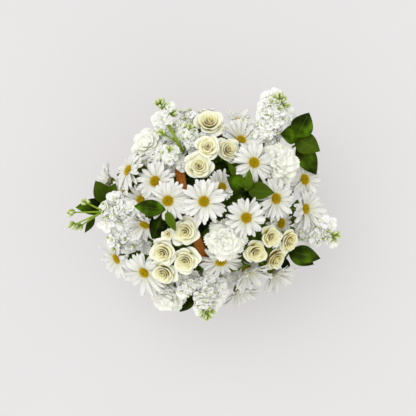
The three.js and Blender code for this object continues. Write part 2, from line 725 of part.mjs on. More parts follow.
function foamBlock() {
  const x = FOAM.length / 2;
  const y = FOAM.width / 2;
  const c = FOAM.corner;
  const corners = [
    [-x + c, -y], [x - c, -y], [x, -y + c], [x, y - c],
    [x - c, y], [-x + c, y], [-x, y - c], [-x, -y + c],
  ];
  const outline = new THREE.Shape(corners.map(([px, py]) => new THREE.Vector2(px, py)));
  const bottom = linerBottom + LINER.floor + GAP;
  return new THREE.ExtrudeGeometry(outline, { depth: FOAM.top - bottom, bevelEnabled: false })
    .translate(0, 0, bottom);
}

const bandOuter = (z) => bowlRadius(z) + GAP + RIM_BAND.thickness;
const bandTop = BOWL.height + RIM_BAND.standsProud;
const bandBottom = bandTop - RIM_BAND.height;

function rimBand() {
  const row = (radius, z) => roundRow(BOWL.stakes, radius, z);
  const inner = (z) => bowlRadius(z) + GAP;
  return ringSurface([
    row(bandOuter(bandBottom), bandBottom),
    row(bandOuter(bandTop), bandTop),
    row(inner(bandTop), bandTop),
    row(inner(bandBottom), bandBottom),
  ], true);
}

// The handle stands in an upright plane across the basket, and leans to the left as it rises.
const handleSpan = new THREE.Vector3(Math.sin(radians(HANDLE.turned)), -Math.cos(radians(HANDLE.turned)), 0);
const handleAcross = new THREE.Vector3().crossVectors(handleSpan, UP);

function handlePoint(out, z) {
  const risen = Math.max(0, z - bandTop) / (HANDLE.top - bandTop);
  return new THREE.Vector3(0, 0, z)
    .addScaledVector(handleSpan, out)
    .addScaledVector(handleAcross, HANDLE.leansLeft * risen);
}

// The middle line of the bent strip: up from one end, over in an arch, and down to the other.
function handleLine() {
  const clear = GAP + HANDLE.thickness / 2;
  const archFoot = bandTop + 6;
  const span = bandOuter(bandTop) + clear + 1;
  const leg = [HANDLE.endsAt, bandTop].map((z) => [bandOuter(z) + clear, z]);
  const steps = 11;
  const arch = Array.from({ length: steps + 1 }, (_, i) => {
    const angle = Math.PI * (1 - i / steps);
    return [span * Math.cos(angle), archFoot + (HANDLE.top - archFoot) * Math.sin(angle) ** 0.85];
  });
  const back = leg.map(([out, z]) => [-out, z]);
  return [...back, ...arch, ...leg.reverse()].map(([out, z]) => handlePoint(out, z));
}

// A flat strip of even width and thickness, bent along a line.
function bentStrip(line, width, thickness) {
  const rows = line.map((p, i) => {
    const along = line[Math.min(line.length - 1, i + 1)].clone().sub(line[Math.max(0, i - 1)]).normalize();
    const across = handleAcross.clone().addScaledVector(along, -handleAcross.dot(along)).normalize();
    const out = new THREE.Vector3().crossVectors(along, across);
    return [[-1, -1], [1, -1], [1, 1], [-1, 1]].map(([a, b]) =>
      p.clone().addScaledVector(across, (a * width) / 2).addScaledVector(out, (b * thickness) / 2));
  });
  return solidOf(ringSurface(rows));
}

// A brass nail driven through the handle's end, the rim band and the bowl's wall.
function nail(side, extra = 0) {
  const z = NAIL.height;
  const headBack = bandOuter(z) + 2 * GAP + HANDLE.thickness + 0.5;
  const tip = bowlRadius(z) - BOWL.wall + 1;
  const profile = [
    [0, tip - 2 * extra],
    [NAIL.shank + extra, tip - 2 * extra],
    [NAIL.shank + extra, headBack - extra],
    [NAIL.head + extra, headBack - extra],
    [NAIL.head * 0.7 + extra, headBack + NAIL.headThickness + extra],
    [0, headBack + NAIL.headThickness + extra],
  ];
  const outward = handleSpan.clone().multiplyScalar(side);
  return solidOf(turned(profile, 6), facingMatrix(new THREE.Vector3(0, 0, z), outward));
}

// ---------------------------------------------------------------------------------------------
// Assembly
// ---------------------------------------------------------------------------------------------

const centerpiece = new THREE.Group();
centerpiece.name = 'floral_centerpiece';

const boxesMeet = (a, b) => {
  const p = a.boundingBox();
  const q = b.boundingBox();
  return [0, 1, 2].every((k) => p.min[k] < q.max[k] && q.min[k] < p.max[k]);
};

// Takes the room of other pieces out of a solid.
function cutClear(solid, rooms) {
  const near = rooms.filter((room) => boxesMeet(solid, room));
  return near.length ? solid.subtract(joined(near)) : solid;
}

const largestBody = (solid) =>
  solid.decompose().reduce((most, body) => (body.volume() > most.volume() ? body : most));

function addMesh(name, colour, solid, matrix = new THREE.Matrix4()) {
  const geometry = geometryOf(solid).applyMatrix4(matrix.clone().invert());
  const shine = colour === 'brass' ? { roughness: 0.35, metalness: 1 } : { roughness: 0.6, metalness: 0 };
  const mesh = new THREE.Mesh(geometry, new THREE.MeshStandardMaterial({ color: COLOURS[colour], ...shine }));
  matrix.decompose(mesh.position, mesh.quaternion, mesh.scale);
  mesh.name = name;
  centerpiece.add(mesh);
}

const handleSolid = bentStrip(handleLine(), HANDLE.width, HANDLE.thickness);
const handleRoom = bentStrip(handleLine(), HANDLE.width + 1.6, HANDLE.thickness + 1.6);
const nailRooms = [nail(-1, GAP), nail(1, GAP)];
const allStems = grown.filter((piece) => piece.stemRoom);

for (const piece of grown) {
  let solid = piece.stems;
  if (piece.heads) {
    const isKin = (other) => other.family === piece.family;
    const higher = grown.filter((other) => other !== piece && other.room && other.height > piece.height);
    const stems = allStems.filter((other) => !isKin(other));
    const cut = cutClear(piece.heads, [...higher.map((other) => other.room), handleRoom,
      ...stems.map((other) => other.stemRoom)]);
    solid = largestBody(piece.stems ? cut.add(piece.stems) : cut);
  }
  addMesh(piece.name, piece.colour, solid, piece.matrix);
}

const stemRooms = allStems.map((piece) => piece.stemRoom);
addMesh('basket_bowl', 'willow', cutClear(solidOf(basketBowl()), nailRooms));
addMesh('liner', 'liner', solidOf(linerPot()));
addMesh('flower_foam', 'foam', cutClear(solidOf(foamBlock()), stemRooms));
addMesh('rim_band', 'bentwood', cutClear(solidOf(rimBand()), nailRooms));
addMesh('handle', 'bentwood', cutClear(handleSolid, nailRooms));
addMesh('handle_nail_back', 'brass', nail(-1));
addMesh('handle_nail_front', 'brass', nail(1));

export default centerpiece;
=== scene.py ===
# A low basket of white flowers, seen as it stands on a pale table. Each flower is dressed round its
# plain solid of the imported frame. Lengths are in millimetres unless a name says otherwise.

import math
import random

import bpy
import numpy as np
from mathutils import Matrix, Vector


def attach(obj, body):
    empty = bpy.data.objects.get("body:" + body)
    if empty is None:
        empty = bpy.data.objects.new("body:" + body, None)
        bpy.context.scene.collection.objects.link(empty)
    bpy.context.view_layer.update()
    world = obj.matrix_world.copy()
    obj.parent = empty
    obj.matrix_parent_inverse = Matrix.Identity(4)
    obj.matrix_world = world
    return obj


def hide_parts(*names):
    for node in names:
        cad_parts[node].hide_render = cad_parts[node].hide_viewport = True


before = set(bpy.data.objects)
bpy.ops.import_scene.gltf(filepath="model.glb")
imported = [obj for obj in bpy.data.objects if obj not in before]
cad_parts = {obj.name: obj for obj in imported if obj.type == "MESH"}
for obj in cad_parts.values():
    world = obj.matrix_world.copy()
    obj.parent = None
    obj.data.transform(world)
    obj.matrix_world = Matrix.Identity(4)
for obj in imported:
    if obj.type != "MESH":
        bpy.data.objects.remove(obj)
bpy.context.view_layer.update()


# ---- The basket bowl --------------------------------------------------------------------------------
# Stripped willow. Round upright stakes rise from a twisted foot, and bands of six thin rods run in
# front of one stake and behind the next, each band the other way from the band below it.

MM = 0.001
TURN = 2 * math.pi
BOWL_HEIGHT = 78
BOWL_FOOT_HEIGHT = 7
BOWL_FOOT_RADIUS = 80
BOWL_RIM_RADIUS = 104
STAKES = 28
STAKE_RADIUS = 1.3
STAKE_FOOT = 3
ROD_BANDS = 4
RODS_IN_BAND = 6
ROD_HALF_THICKNESS = 1.0
ROD_HALF_HEIGHT = 1.5
ROD_SWING = 1.9
ROD_SWING_UNDER_RIM = 1.55
ROD_SWAY = 0.22
WALL_MIDDLE = 2.4
BAND_HEIGHT = 14
FOOT_STRANDS = 3
FOOT_TWIST_RADIUS = 79.2
FOOT_TWIST_HEIGHT = 4.1
FOOT_TWIST_OUT = 1.7
FOOT_TWIST_UP = 2.2
FOOT_STRAND_HALF_WIDTH = 1.75
FOOT_STRAND_HALF_HEIGHT = 1.85
FLOOR_RODS = 22
FLOOR_ROD_STEPS = 64
FLOOR_MIDDLE = 3.0
FLOOR_INNERMOST_ROD = 6
FLOOR_ROD_PITCH = 3.35
FLOOR_ROD_SWING = 1.25
FLOOR_ROD_HALF_WIDTH = 1.55
FLOOR_ROD_HALF_HEIGHT = 1.0
FLOOR_SPOKES = 16
FLOOR_SPOKE_RADIUS = 1.3
FLOOR_SPOKE_STARTS = 2
FLOOR_SPOKE_ENDS = 78.5


class Shape:
    """Rings of points, gathered into one mesh. Each ring runs anticlockwise about the way the rows go."""

    def __init__(self, *materials):
        self.materials = materials
        self.points = []
        self.faces = []
        self.spots = []
        self.finishes = []
        self.tints = []
        self.count = 0

    def add(self, rows, material=None, tint=0.5, place=None, comes_back=False):
        """Skins rows of points, in the shape's first material unless another is given."""
        rows = np.asarray(rows, float)
        length, width = rows.shape[:2]
        bands = length if comes_back else length - 1
        row, column = np.meshgrid(np.arange(bands), np.arange(width), indexing="ij")
        beside = (column + 1) % width
        after = (row + 1) % length
        corners = [row * width + column, row * width + beside, after * width + beside, after * width + column]
        faces = np.stack(corners, axis=-1).reshape(-1, 4)
        if not comes_back:
            j = np.arange(width // 2 - 1)
            cap = np.stack([j, j + 1, width - 2 - j, width - 1 - j], axis=-1)
            faces = np.concatenate([faces, cap + (length - 1) * width, cap[:, ::-1]])
        points = rows.reshape(-1, 3)
        if place is not None:
            turn = np.array(place.to_3x3())
            points = points @ turn.T + np.array(place.translation)
        j = np.arange(width)
        across = np.tile(np.minimum(j, width - 1 - j) / (width / 2 - 1), length)
        along = np.repeat(np.linspace(0, 1, length), width)
        finish = self.materials.index(material) if material else 0
        self.points.append(points)
        self.faces.append(faces + self.count)
        self.spots.append(np.stack([across, along], axis=-1))
        self.finishes.append(np.full(len(faces), finish))
        self.tints.append(np.full(len(points), tint))
        self.count += len(points)

    def build(self, name, stands_for, crease=55):
        """Makes the piece, which stands for nodes of the frame. Edges sharper than the crease stay sharp."""
        mesh = bpy.data.meshes.new(name)
        faces = np.concatenate(self.faces)
        mesh.from_pydata((np.concatenate(self.points) * MM).tolist(), [], faces.tolist())
        spots = np.concatenate(self.spots)[faces.ravel()]
        mesh.uv_layers.new(name="spot").data.foreach_set("uv", spots.ravel())
        tints = mesh.attributes.new("tint", "FLOAT", "POINT")
        tints.data.foreach_set("value", np.concatenate(self.tints))
        mesh.polygons.foreach_set("material_index", np.concatenate(self.finishes))
        mesh.shade_smooth()
        mesh.set_sharp_from_angle(angle=math.radians(crease))
        for material in self.materials:
            mesh.materials.append(material)
        piece = bpy.data.objects.new(name, mesh)
        bpy.context.scene.collection.objects.link(piece)
        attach(piece, "root")
        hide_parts(*stands_for)


def colour(red, green, blue):
    """A colour as it looks on a screen, from 0 to 255, as Blender wants it."""
    linear = []
    for c in (red, green, blue):
        linear.append(c / 255 / 12.92 if c < 10.3 else ((c / 255 + 0.055) / 1.055) ** 2.4)
    return (*linear, 1)


def start_material(name, roughness, gloss=0.4):
    material = bpy.data.materials.new(name)
    material.use_nodes = True
    shader = material.node_tree.nodes["Principled BSDF"]
    shader.inputs["Roughness"].default_value = roughness
    shader.inputs["Specular IOR Level"].default_value = gloss
    return material, shader


def node(material, kind, settings=None, **inputs):
    made = material.node_tree.nodes.new("ShaderNode" + kind)
    for key, value in (settings or {}).items():
        setattr(made, key, value)
    for key, value in inputs.items():
        socket = made.inputs[int(key[2:])] if key.startswith("at") else made.inputs[key.replace("_", " ")]
        if isinstance(value, bpy.types.NodeSocket):
            material.node_tree.links.new(value, socket)
        else:
            socket.default_value = value
    return made


def noise(material, scale, detail=2.0):
    """Noise in space, with the scale in features to a metre."""
    place = node(material, "TexCoord").outputs["Object"]
    return node(material, "TexNoise", Vector=place, Scale=scale, Detail=detail).outputs["Fac"]


def spot_of(material):
    return node(material, "UVMap", {"uv_map": "spot"}).outputs["UV"]


def spot_waves(material, across, along, detail=2.0):
    """Noise that is drawn out on a piece's own surface: features across it and along it."""
    spot = spot_of(material)
    drawn = node(material, "VectorMath", {"operation": "MULTIPLY"}, at0=spot, at1=(across, along, 1))
    return node(material, "TexNoise", Vector=drawn.outputs[0], Scale=1.0, Detail=detail).outputs["Fac"]


def across_of(material):
    """How far across a piece a point is, from 0 to 1."""
    return node(material, "SeparateXYZ", Vector=spot_of(material)).outputs["X"]


def along_of(material):
    """How far along a piece a point is, from 0 at its root to 1 at its tip."""
    return node(material, "SeparateXYZ", Vector=spot_of(material)).outputs["Y"]


def tint_of(material):
    return node(material, "Attribute", {"attribute_name": "tint"}).outputs["Fac"]


def sums(material, operation, first, second=0.0, held=True):
    """A sum of two amounts, held between 0 and 1 unless told otherwise."""
    settings = {"operation": operation, "use_clamp": held}
    return node(material, "Math", settings, at0=first, at1=second).outputs[0]


def weighed(material, first, first_share, second, second_share):
    """Two amounts added up, each in its share."""
    first_part = sums(material, "MULTIPLY", first, first_share)
    return sums(material, "ADD", first_part, sums(material, "MULTIPLY", second, second_share))


def ramp(material, amount, stops):
    """Tones set out from 0 to 1. A stop is a place with a red, green and blue, or with a grey."""
    made = node(material, "ValToRGB", Fac=amount)
    elements = made.color_ramp.elements
    while len(elements) < len(stops):
        elements.new(0.5)
    for element, (position, *tone) in zip(elements, stops):
        element.position = position
        element.color = colour(*tone) if len(tone) == 3 else (tone[0], tone[0], tone[0], 1)
    return made.outputs["Color"]


def mixed(material, amount, first, second, blend="MIX"):
    settings = {"data_type": "RGBA", "blend_type": blend}
    return node(material, "Mix", settings, at0=amount, at6=first, at7=second).outputs[2]


def darkened(material, base, share, pattern, greys):
    """A colour with a pattern laid over it that darkens it."""
    return mixed(material, share, base, ramp(material, pattern, greys), "MULTIPLY")


def set_colour(material, shader, value):
    material.node_tree.links.new(value, shader.inputs["Base Color"])


def set_bump(material, shader, height, distance_mm, strength=1.0):
    bump = node(material, "Bump", Strength=strength, Distance=distance_mm * MM, Height=height)
    material.node_tree.links.new(bump.outputs["Normal"], shader.inputs["Normal"])


def bowl_radius(z):
    return BOWL_FOOT_RADIUS + (BOWL_RIM_RADIUS - BOWL_FOOT_RADIUS) * z / BOWL_HEIGHT


def circle(count):
    return np.arange(count) / count * TURN


def oval_rows(angles, radius, height, half_out, half_up, sides=6):
    """A rod that runs round the bowl, at a radius and height for each angle."""
    section = circle(sides)
    out = radius[:, None] + half_out * np.cos(section)[None, :]
    up = height[:, None] - half_up * np.sin(section)[None, :]
    return np.stack([out * np.cos(angles)[:, None], out * np.sin(angles)[:, None], up], axis=-1)


def tube(line, radii, sides=8, ridges=0.0):
    """A round stem through points, with a radius for each. Ridges swell every second side."""
    line = np.asarray(line, float)
    radii = np.broadcast_to(radii, len(line))
    along = np.gradient(line, axis=0)
    along /= np.linalg.norm(along, axis=1, keepdims=True)
    section = circle(sides)
    swell = 1 + ridges * np.cos(section * sides / 2)
    side = np.array([0.31, 0.87, -0.22])
    rows = []
    for point, way, radius in zip(line, along, radii):
        side = side - way * np.dot(side, way)
        side /= np.linalg.norm(side)
        other = np.cross(way, side)
        ring = np.cos(section)[:, None] * side + np.sin(section)[:, None] * other
        rows.append(point + ring * (radius * swell)[:, None])
    return np.array(rows)


def willow():
    material, shader = start_material("stripped_willow", 0.5)
    tone = weighed(material, tint_of(material), 0.6, noise(material, 45), 0.4)
    base = ramp(material, tone, [(0.1, 112, 68, 27), (0.45, 150, 99, 47), (0.85, 188, 140, 82)])
    grain = spot_waves(material, 3, 60)
    set_colour(material, shader, darkened(material, base, 0.35, grain, [(0.3, 0.45), (0.7, 1.0)]))
    set_bump(material, shader, noise(material, 900, 3), 0.25, 0.5)
    return material


def outward_line(angle, reach, heights):
    """A line whose points all lie at one compass angle from the middle of the bowl."""
    return np.stack([reach * math.cos(angle), reach * math.sin(angle), heights], axis=-1)


def add_bowl_wall(shape, dice):
    for angle in circle(STAKES):
        heights = np.linspace(STAKE_FOOT, BOWL_HEIGHT - 0.5, 12)
        line = outward_line(angle, bowl_radius(heights) - WALL_MIDDLE, heights)
        shape.add(tube(line, STAKE_RADIUS), tint=dice.uniform(0.2, 0.7))
    angles = circle(STAKES * 4)
    rods = ROD_BANDS * RODS_IN_BAND
    pitch = (BOWL_HEIGHT - BOWL_FOOT_HEIGHT) / rods
    for i in range(rods):
        sway = ROD_SWAY * np.sin(angles * 5 + dice.random() * TURN)
        heights = BOWL_FOOT_HEIGHT + (i + 0.5) * pitch + sway
        swing = ROD_SWING if heights.max() < BOWL_HEIGHT - BAND_HEIGHT else ROD_SWING_UNDER_RIM
        front = -1 if (i // RODS_IN_BAND) % 2 else 1
        weave = front * swing * np.cos(angles * STAKES / 2) * dice.uniform(0.88, 1)
        radius = bowl_radius(heights) - WALL_MIDDLE + weave
        half_up = ROD_HALF_HEIGHT * dice.uniform(0.88, 1.0)
        rod = oval_rows(angles, radius, heights, ROD_HALF_THICKNESS, half_up)
        shape.add(rod, tint=dice.uniform(0.1, 1), comes_back=True)


def add_bowl_foot(shape):
    angles = circle(STAKES * 8)
    for strand in range(FOOT_STRANDS):
        phase = angles * STAKES + strand * TURN / FOOT_STRANDS
        radius = FOOT_TWIST_RADIUS + FOOT_TWIST_OUT * np.cos(phase)
        height = FOOT_TWIST_HEIGHT + FOOT_TWIST_UP * np.sin(phase)
        rod = oval_rows(angles, radius, height, FOOT_STRAND_HALF_WIDTH, FOOT_STRAND_HALF_HEIGHT)
        shape.add(rod, tint=0.25 + 0.2 * strand, comes_back=True)


def add_bowl_floor(shape, dice):
    angles = circle(FLOOR_ROD_STEPS)
    for i in range(FLOOR_RODS):
        radius = np.full(FLOOR_ROD_STEPS, FLOOR_INNERMOST_ROD + i * FLOOR_ROD_PITCH)
        over_or_under = 1 if i % 2 else -1
        height = FLOOR_MIDDLE + over_or_under * FLOOR_ROD_SWING * np.cos(angles * FLOOR_SPOKES / 2)
        rod = oval_rows(angles, radius, height, FLOOR_ROD_HALF_WIDTH, FLOOR_ROD_HALF_HEIGHT)
        shape.add(rod, tint=dice.uniform(0.1, 0.9), comes_back=True)
    for angle in circle(FLOOR_SPOKES):
        reach = np.linspace(FLOOR_SPOKE_STARTS, FLOOR_SPOKE_ENDS, 6)
        line = outward_line(angle, reach, np.full(6, FLOOR_MIDDLE))
        shape.add(tube(line, FLOOR_SPOKE_RADIUS, 6), tint=0.3)


def woven_bowl():
    dice = random.Random(5)
    shape = Shape(willow())
    add_bowl_wall(shape, dice)
    add_bowl_foot(shape)
    add_bowl_floor(shape, dice)
    shape.build("woven_bowl", ["basket_bowl"])


woven_bowl()


# ---- The rim band -----------------------------------------------------------------------------------
# A strip of steam-bent wood round the top of the bowl, outside the weave. Its two ends are shaved thin
# and lapped one over the other, so that the band keeps one thickness.

BAND_TOP = 80
BAND_THICKNESS = 3
BAND_GAP = 0.35
LAP_ANGLE = 0.42
LAP_STARTS = 3.6
LAP_ENDS_SHAVED_TO = 0.07
HOOP_STEPS = 150


def bentwood():
    material, shader = start_material("bentwood", 0.5, 0.12)
    grain = spot_waves(material, 26, 3, 4.0)
    tone = weighed(material, grain, 0.62, noise(material, 26), 0.38)
    base = ramp(material, tone, [(0.33, 84, 40, 5), (0.5, 154, 89, 23), (0.66, 204, 130, 50)])
    pores = ramp(material, spot_waves(material, 120, 14, 1.0), [(0.36, 0.55), (0.5, 1.0)])
    flecks = ramp(material, noise(material, 1100, 2), [(0.35, 0.5), (0.6, 1.0)])
    set_colour(material, shader, mixed(material, 0.6, base, mixed(material, 0.5, pores, flecks), "MULTIPLY"))
    set_bump(material, shader, grain, 0.3, 0.5)
    return material


BENTWOOD = bentwood()


def rim_hoop():
    turned = np.linspace(0, TURN + LAP_ANGLE, HOOP_STEPS)
    inside = np.clip((turned - TURN) / LAP_ANGLE, 0, 1 - LAP_ENDS_SHAVED_TO)
    outside = np.clip(turned / LAP_ANGLE, LAP_ENDS_SHAVED_TO, 1)
    section = [(0, 0.04), (0, 0.96), (0.25, 1), (0.75, 1), (1, 0.95), (1, 0.05), (0.75, 0), (0.25, 0)]
    rows = []
    for angle, low, high in zip(turned + LAP_STARTS, inside, outside):
        ring = []
        for depth, level in section:
            z = BAND_TOP - BAND_HEIGHT * level
            radius = bowl_radius(z) + BAND_GAP + BAND_THICKNESS * (low + (high - low) * depth)
            ring.append((radius * math.cos(angle), radius * math.sin(angle), z))
        rows.append(ring[::-1])
    shape = Shape(BENTWOOD)
    shape.add(rows)
    shape.build("rim_hoop", ["rim_band"], 40)


rim_hoop()


# ---- The handle -------------------------------------------------------------------------------------
# One bentwood strip, bent green over a former, with its ends down outside the rim band. It stands
# across the bowl and leans a little to the left, and flowers crowd it on both sides.

HANDLE_WIDTH = 13
HANDLE_THICKNESS = 2.6
HANDLE_TOP = 239
HANDLE_ENDS_AT = 58
HANDLE_LEG_MIDDLE = 70
HANDLE_LEANS = 27
HANDLE_ENDS_NARROW_TO = 0.72
ARCH_FOOT = BAND_TOP + 6
ARCH_ROUNDNESS = 0.85
HANDLE_ANGLE = math.radians(15)
HANDLE_SPAN = np.array([math.sin(HANDLE_ANGLE), -math.cos(HANDLE_ANGLE), 0])
HANDLE_ACROSS = np.array([-math.cos(HANDLE_ANGLE), -math.sin(HANDLE_ANGLE), 0])


def band_outer(z):
    return bowl_radius(z) + BAND_GAP + BAND_THICKNESS


def handle_line():
    clear = BAND_GAP + HANDLE_THICKNESS / 2
    span = band_outer(BAND_TOP) + clear + 1
    heights = (HANDLE_ENDS_AT, HANDLE_ENDS_AT + 1.5, HANDLE_LEG_MIDDLE, BAND_TOP)
    leg = [(band_outer(z) + clear, z) for z in heights]
    arch = []
    for angle in np.linspace(math.pi, 0, 61):
        rise = (HANDLE_TOP - ARCH_FOOT) * max(0, math.sin(angle)) ** ARCH_ROUNDNESS
        arch.append((span * math.cos(angle), ARCH_FOOT + rise))
    sides = [(-out, z) for out, z in leg] + arch + leg[::-1]
    line = []
    for out, z in sides:
        risen = max(0, z - BAND_TOP) / (HANDLE_TOP - BAND_TOP)
        line.append(np.array([0, 0, z]) + HANDLE_SPAN * out + HANDLE_ACROSS * HANDLE_LEANS * risen)
    return np.array(line)


def bent_handle():
    line = handle_line()
    along = np.gradient(line, axis=0)
    along /= np.linalg.norm(along, axis=1, keepdims=True)
    half = HANDLE_WIDTH / 2
    deep = HANDLE_THICKNESS / 2
    section = [(-1, -0.55), (-0.9, -1), (0.9, -1), (1, -0.55), (1, 0.55), (0.9, 1), (-0.9, 1), (-1, 0.55)]
    rows = []
    for i, (point, way) in enumerate(zip(line, along)):
        across = HANDLE_ACROSS - way * np.dot(HANDLE_ACROSS, way)
        across /= np.linalg.norm(across)
        out = np.cross(way, across)
        narrowed = HANDLE_ENDS_NARROW_TO if i in (0, len(line) - 1) else 1
        rows.append([point + across * a * half * narrowed + out * b * deep for a, b in section])
    shape = Shape(BENTWOOD)
    shape.add(rows)
    shape.build("bent_handle", ["handle"], 40)


bent_handle()


# ---- The nails --------------------------------------------------------------------------------------
# A domed brass nail through each end of the handle, the rim band and the wall of the bowl. The heads
# are stamped, slightly dished round the edge, and dulled with handling.

NAIL_HEIGHT = 71
NAIL_SHANK = 1.4
NAIL_HEAD = 3
NAIL_TIP_INSIDE = 4.5
NAIL_DOME = [(0.97, 0), (1, 0.3), (0.93, 0.75), (0.7, 1.25), (0.35, 1.55)]


def spun(angle):
    """A turn about +Z."""
    return Matrix.Rotation(angle, 4, "Z")


def facing_matrix(at, facing, roll=0.0):
    """Carries +Z onto a direction at a place."""
    turn = Vector((0, 0, 1)).rotation_difference(Vector(facing)).to_matrix().to_4x4()
    return Matrix.Translation(Vector(at)) @ turn @ spun(roll)


def turned_rows(profile, sides=16, lobes=0, depth=0.0):
    """Rings for a profile of (radius, height) pairs, from the foot up."""
    angles = circle(sides)
    swell = 1 + depth * np.cos(angles * lobes)
    rows = []
    for radius, z in profile:
        rows.append([(radius * s * math.cos(a), radius * s * math.sin(a), z) for a, s in zip(angles, swell)])
    return rows


def dulled_brass():
    material, shader = start_material("dulled_brass", 0.38)
    shader.inputs["Metallic"].default_value = 1.0
    worn = noise(material, 700, 3)
    set_colour(material, shader, ramp(material, worn, [(0.35, 122, 92, 44), (0.65, 196, 160, 92)]))
    set_bump(material, shader, worn, 0.1, 0.4)
    return material


BRASS = dulled_brass()


def brass_nail(name, side):
    head_back = band_outer(NAIL_HEIGHT) + 2 * BAND_GAP + HANDLE_THICKNESS + 0.45
    tip = bowl_radius(NAIL_HEIGHT) - NAIL_TIP_INSIDE
    profile = [(0.1, tip), (NAIL_SHANK, tip + 1), (NAIL_SHANK, head_back)]
    profile += [(NAIL_HEAD * share, head_back + rise) for share, rise in NAIL_DOME]
    profile += [(0.05, head_back + 1.62)]
    shape = Shape(BRASS)
    shape.add(turned_rows(profile), place=facing_matrix((0, 0, NAIL_HEIGHT), HANDLE_SPAN * side))
    shape.build(f"brass_{name}", [name])


brass_nail("handle_nail_back", -1)
brass_nail("handle_nail_front", 1)


# ---- The liner --------------------------------------------------------------------------------------
# A thin moulded pot of dark green plastic that fits inside the weave and keeps its water off the
# willow. Its lip is rolled outwards for stiffness.

LINER_BOTTOM = 6.35
LINER_TOP = 74
LINER_WALL = 1.2
LINER_FLOOR = 1.4
LINER_INSIDE_BOWL = 6.2


def liner_plastic():
    material, shader = start_material("liner_plastic", 0.42)
    cloud = noise(material, 60)
    set_colour(material, shader, ramp(material, cloud, [(0.3, 28, 40, 22), (0.7, 44, 60, 34)]))
    set_bump(material, shader, noise(material, 1500, 1), 0.06, 0.3)
    return material


def liner_pot():
    foot, lip = [bowl_radius(z) - LINER_INSIDE_BOWL for z in (LINER_BOTTOM, LINER_TOP)]
    inner = lip - LINER_WALL
    profile = [(0.2, LINER_BOTTOM), (foot - 3, LINER_BOTTOM), (foot - 1, LINER_BOTTOM + 1.6),
               (lip - 0.4, LINER_TOP - 2.2), (lip, LINER_TOP - 1.6), (lip, LINER_TOP - 0.5),
               (lip - 0.7, LINER_TOP), (inner - 0.4, LINER_TOP - 0.4), (inner - 0.7, LINER_TOP - 2),
               (foot - 2.6, LINER_BOTTOM + LINER_FLOOR + 1), (foot - 4.6, LINER_BOTTOM + LINER_FLOOR),
               (0.2, LINER_BOTTOM + LINER_FLOOR)]
    shape = Shape(liner_plastic())
    shape.add(turned_rows(profile, 72))
    shape.build("liner_pot", ["liner"])


liner_pot()


# ---- The flower foam --------------------------------------------------------------------------------
# A block of wet green flower foam, cut with a knife to fit the liner: flat faces, slightly crumbled
# edges and an open grain. Every stem is pushed straight into it.

FOAM_HALF_LENGTH = 60
FOAM_HALF_WIDTH = 56
FOAM_CORNER_SUM = 96
FOAM_BOTTOM = 8.1
FOAM_TOP = 98


def wet_foam():
    material, shader = start_material("wet_foam", 0.78, 0.3)
    grain = noise(material, 1400, 3)
    base = ramp(material, noise(material, 40), [(0.3, 26, 48, 22), (0.7, 52, 80, 38)])
    set_colour(material, shader, darkened(material, base, 0.6, grain, [(0.35, 0.4), (0.65, 1.0)]))
    set_bump(material, shader, grain, 0.5, 0.9)
    return material


def foam_block():
    dice = random.Random(9)
    angles = circle(96)
    c, s = np.abs(np.cos(angles)), np.abs(np.sin(angles))
    reach = 1 / np.maximum(np.maximum(c / FOAM_HALF_LENGTH, s / FOAM_HALF_WIDTH), (c + s) / FOAM_CORNER_SUM)
    levels = [(FOAM_BOTTOM, 0.02), (FOAM_BOTTOM, 0.97), (FOAM_BOTTOM + 1.5, 1)]
    levels += [(z, 1) for z in np.linspace(16, FOAM_TOP - 2.2, 16)]
    levels += [(FOAM_TOP - 0.6, 0.985)]
    levels += [(FOAM_TOP, share) for share in (0.96, 0.85, 0.7, 0.55, 0.4, 0.25, 0.1, 0.02)]
    rows = []
    for z, share in levels:
        crumbs = np.array([dice.uniform(-0.35, 0.25) for _ in angles]) * (share > 0.1)
        out = reach * share + crumbs
        sunk = np.array([dice.uniform(-0.4, 0.0) for _ in angles]) * (z > FOAM_TOP - 1)
        rows.append(np.stack([out * np.cos(angles), out * np.sin(angles), z + sunk], axis=-1))
    shape = Shape(wet_foam())
    shape.add(rows)
    shape.build("foam_block", ["flower_foam"])


foam_block()


# ---- The daisies ------------------------------------------------------------------------------------
# Branched sprays of garden daisies. Each head is two rings of white rays round a domed golden disc of
# tiny florets, held from behind in a cup of green scales, on a thin ribbed stem with lobed leaves.

DOME_HALF_WIDTH = 165
DOME_HALF_DEPTH = 150
DOME_FOOT = 110
DOME_RISE = 150
STEM_ENDS_AT = 60
STEMS_DRAW_IN_TO = 0.36
MAIN_STEM_RADIUS = 2.3
DAISY_FORK_AT = 0.42
GOLDEN_ANGLE = math.radians(137.508)
DISC_RADIUS = 7.3
DISC_FLORETS = 84
RAY_ROOT = 4.6
RAY_THICKNESS = 0.3
LEAF_THICKNESS = 0.35
LOW_LEAVES_FROM = 97
LOW_LEAVES_TO = 136
LOW_LEAVES_SHORTER_FROM = 72

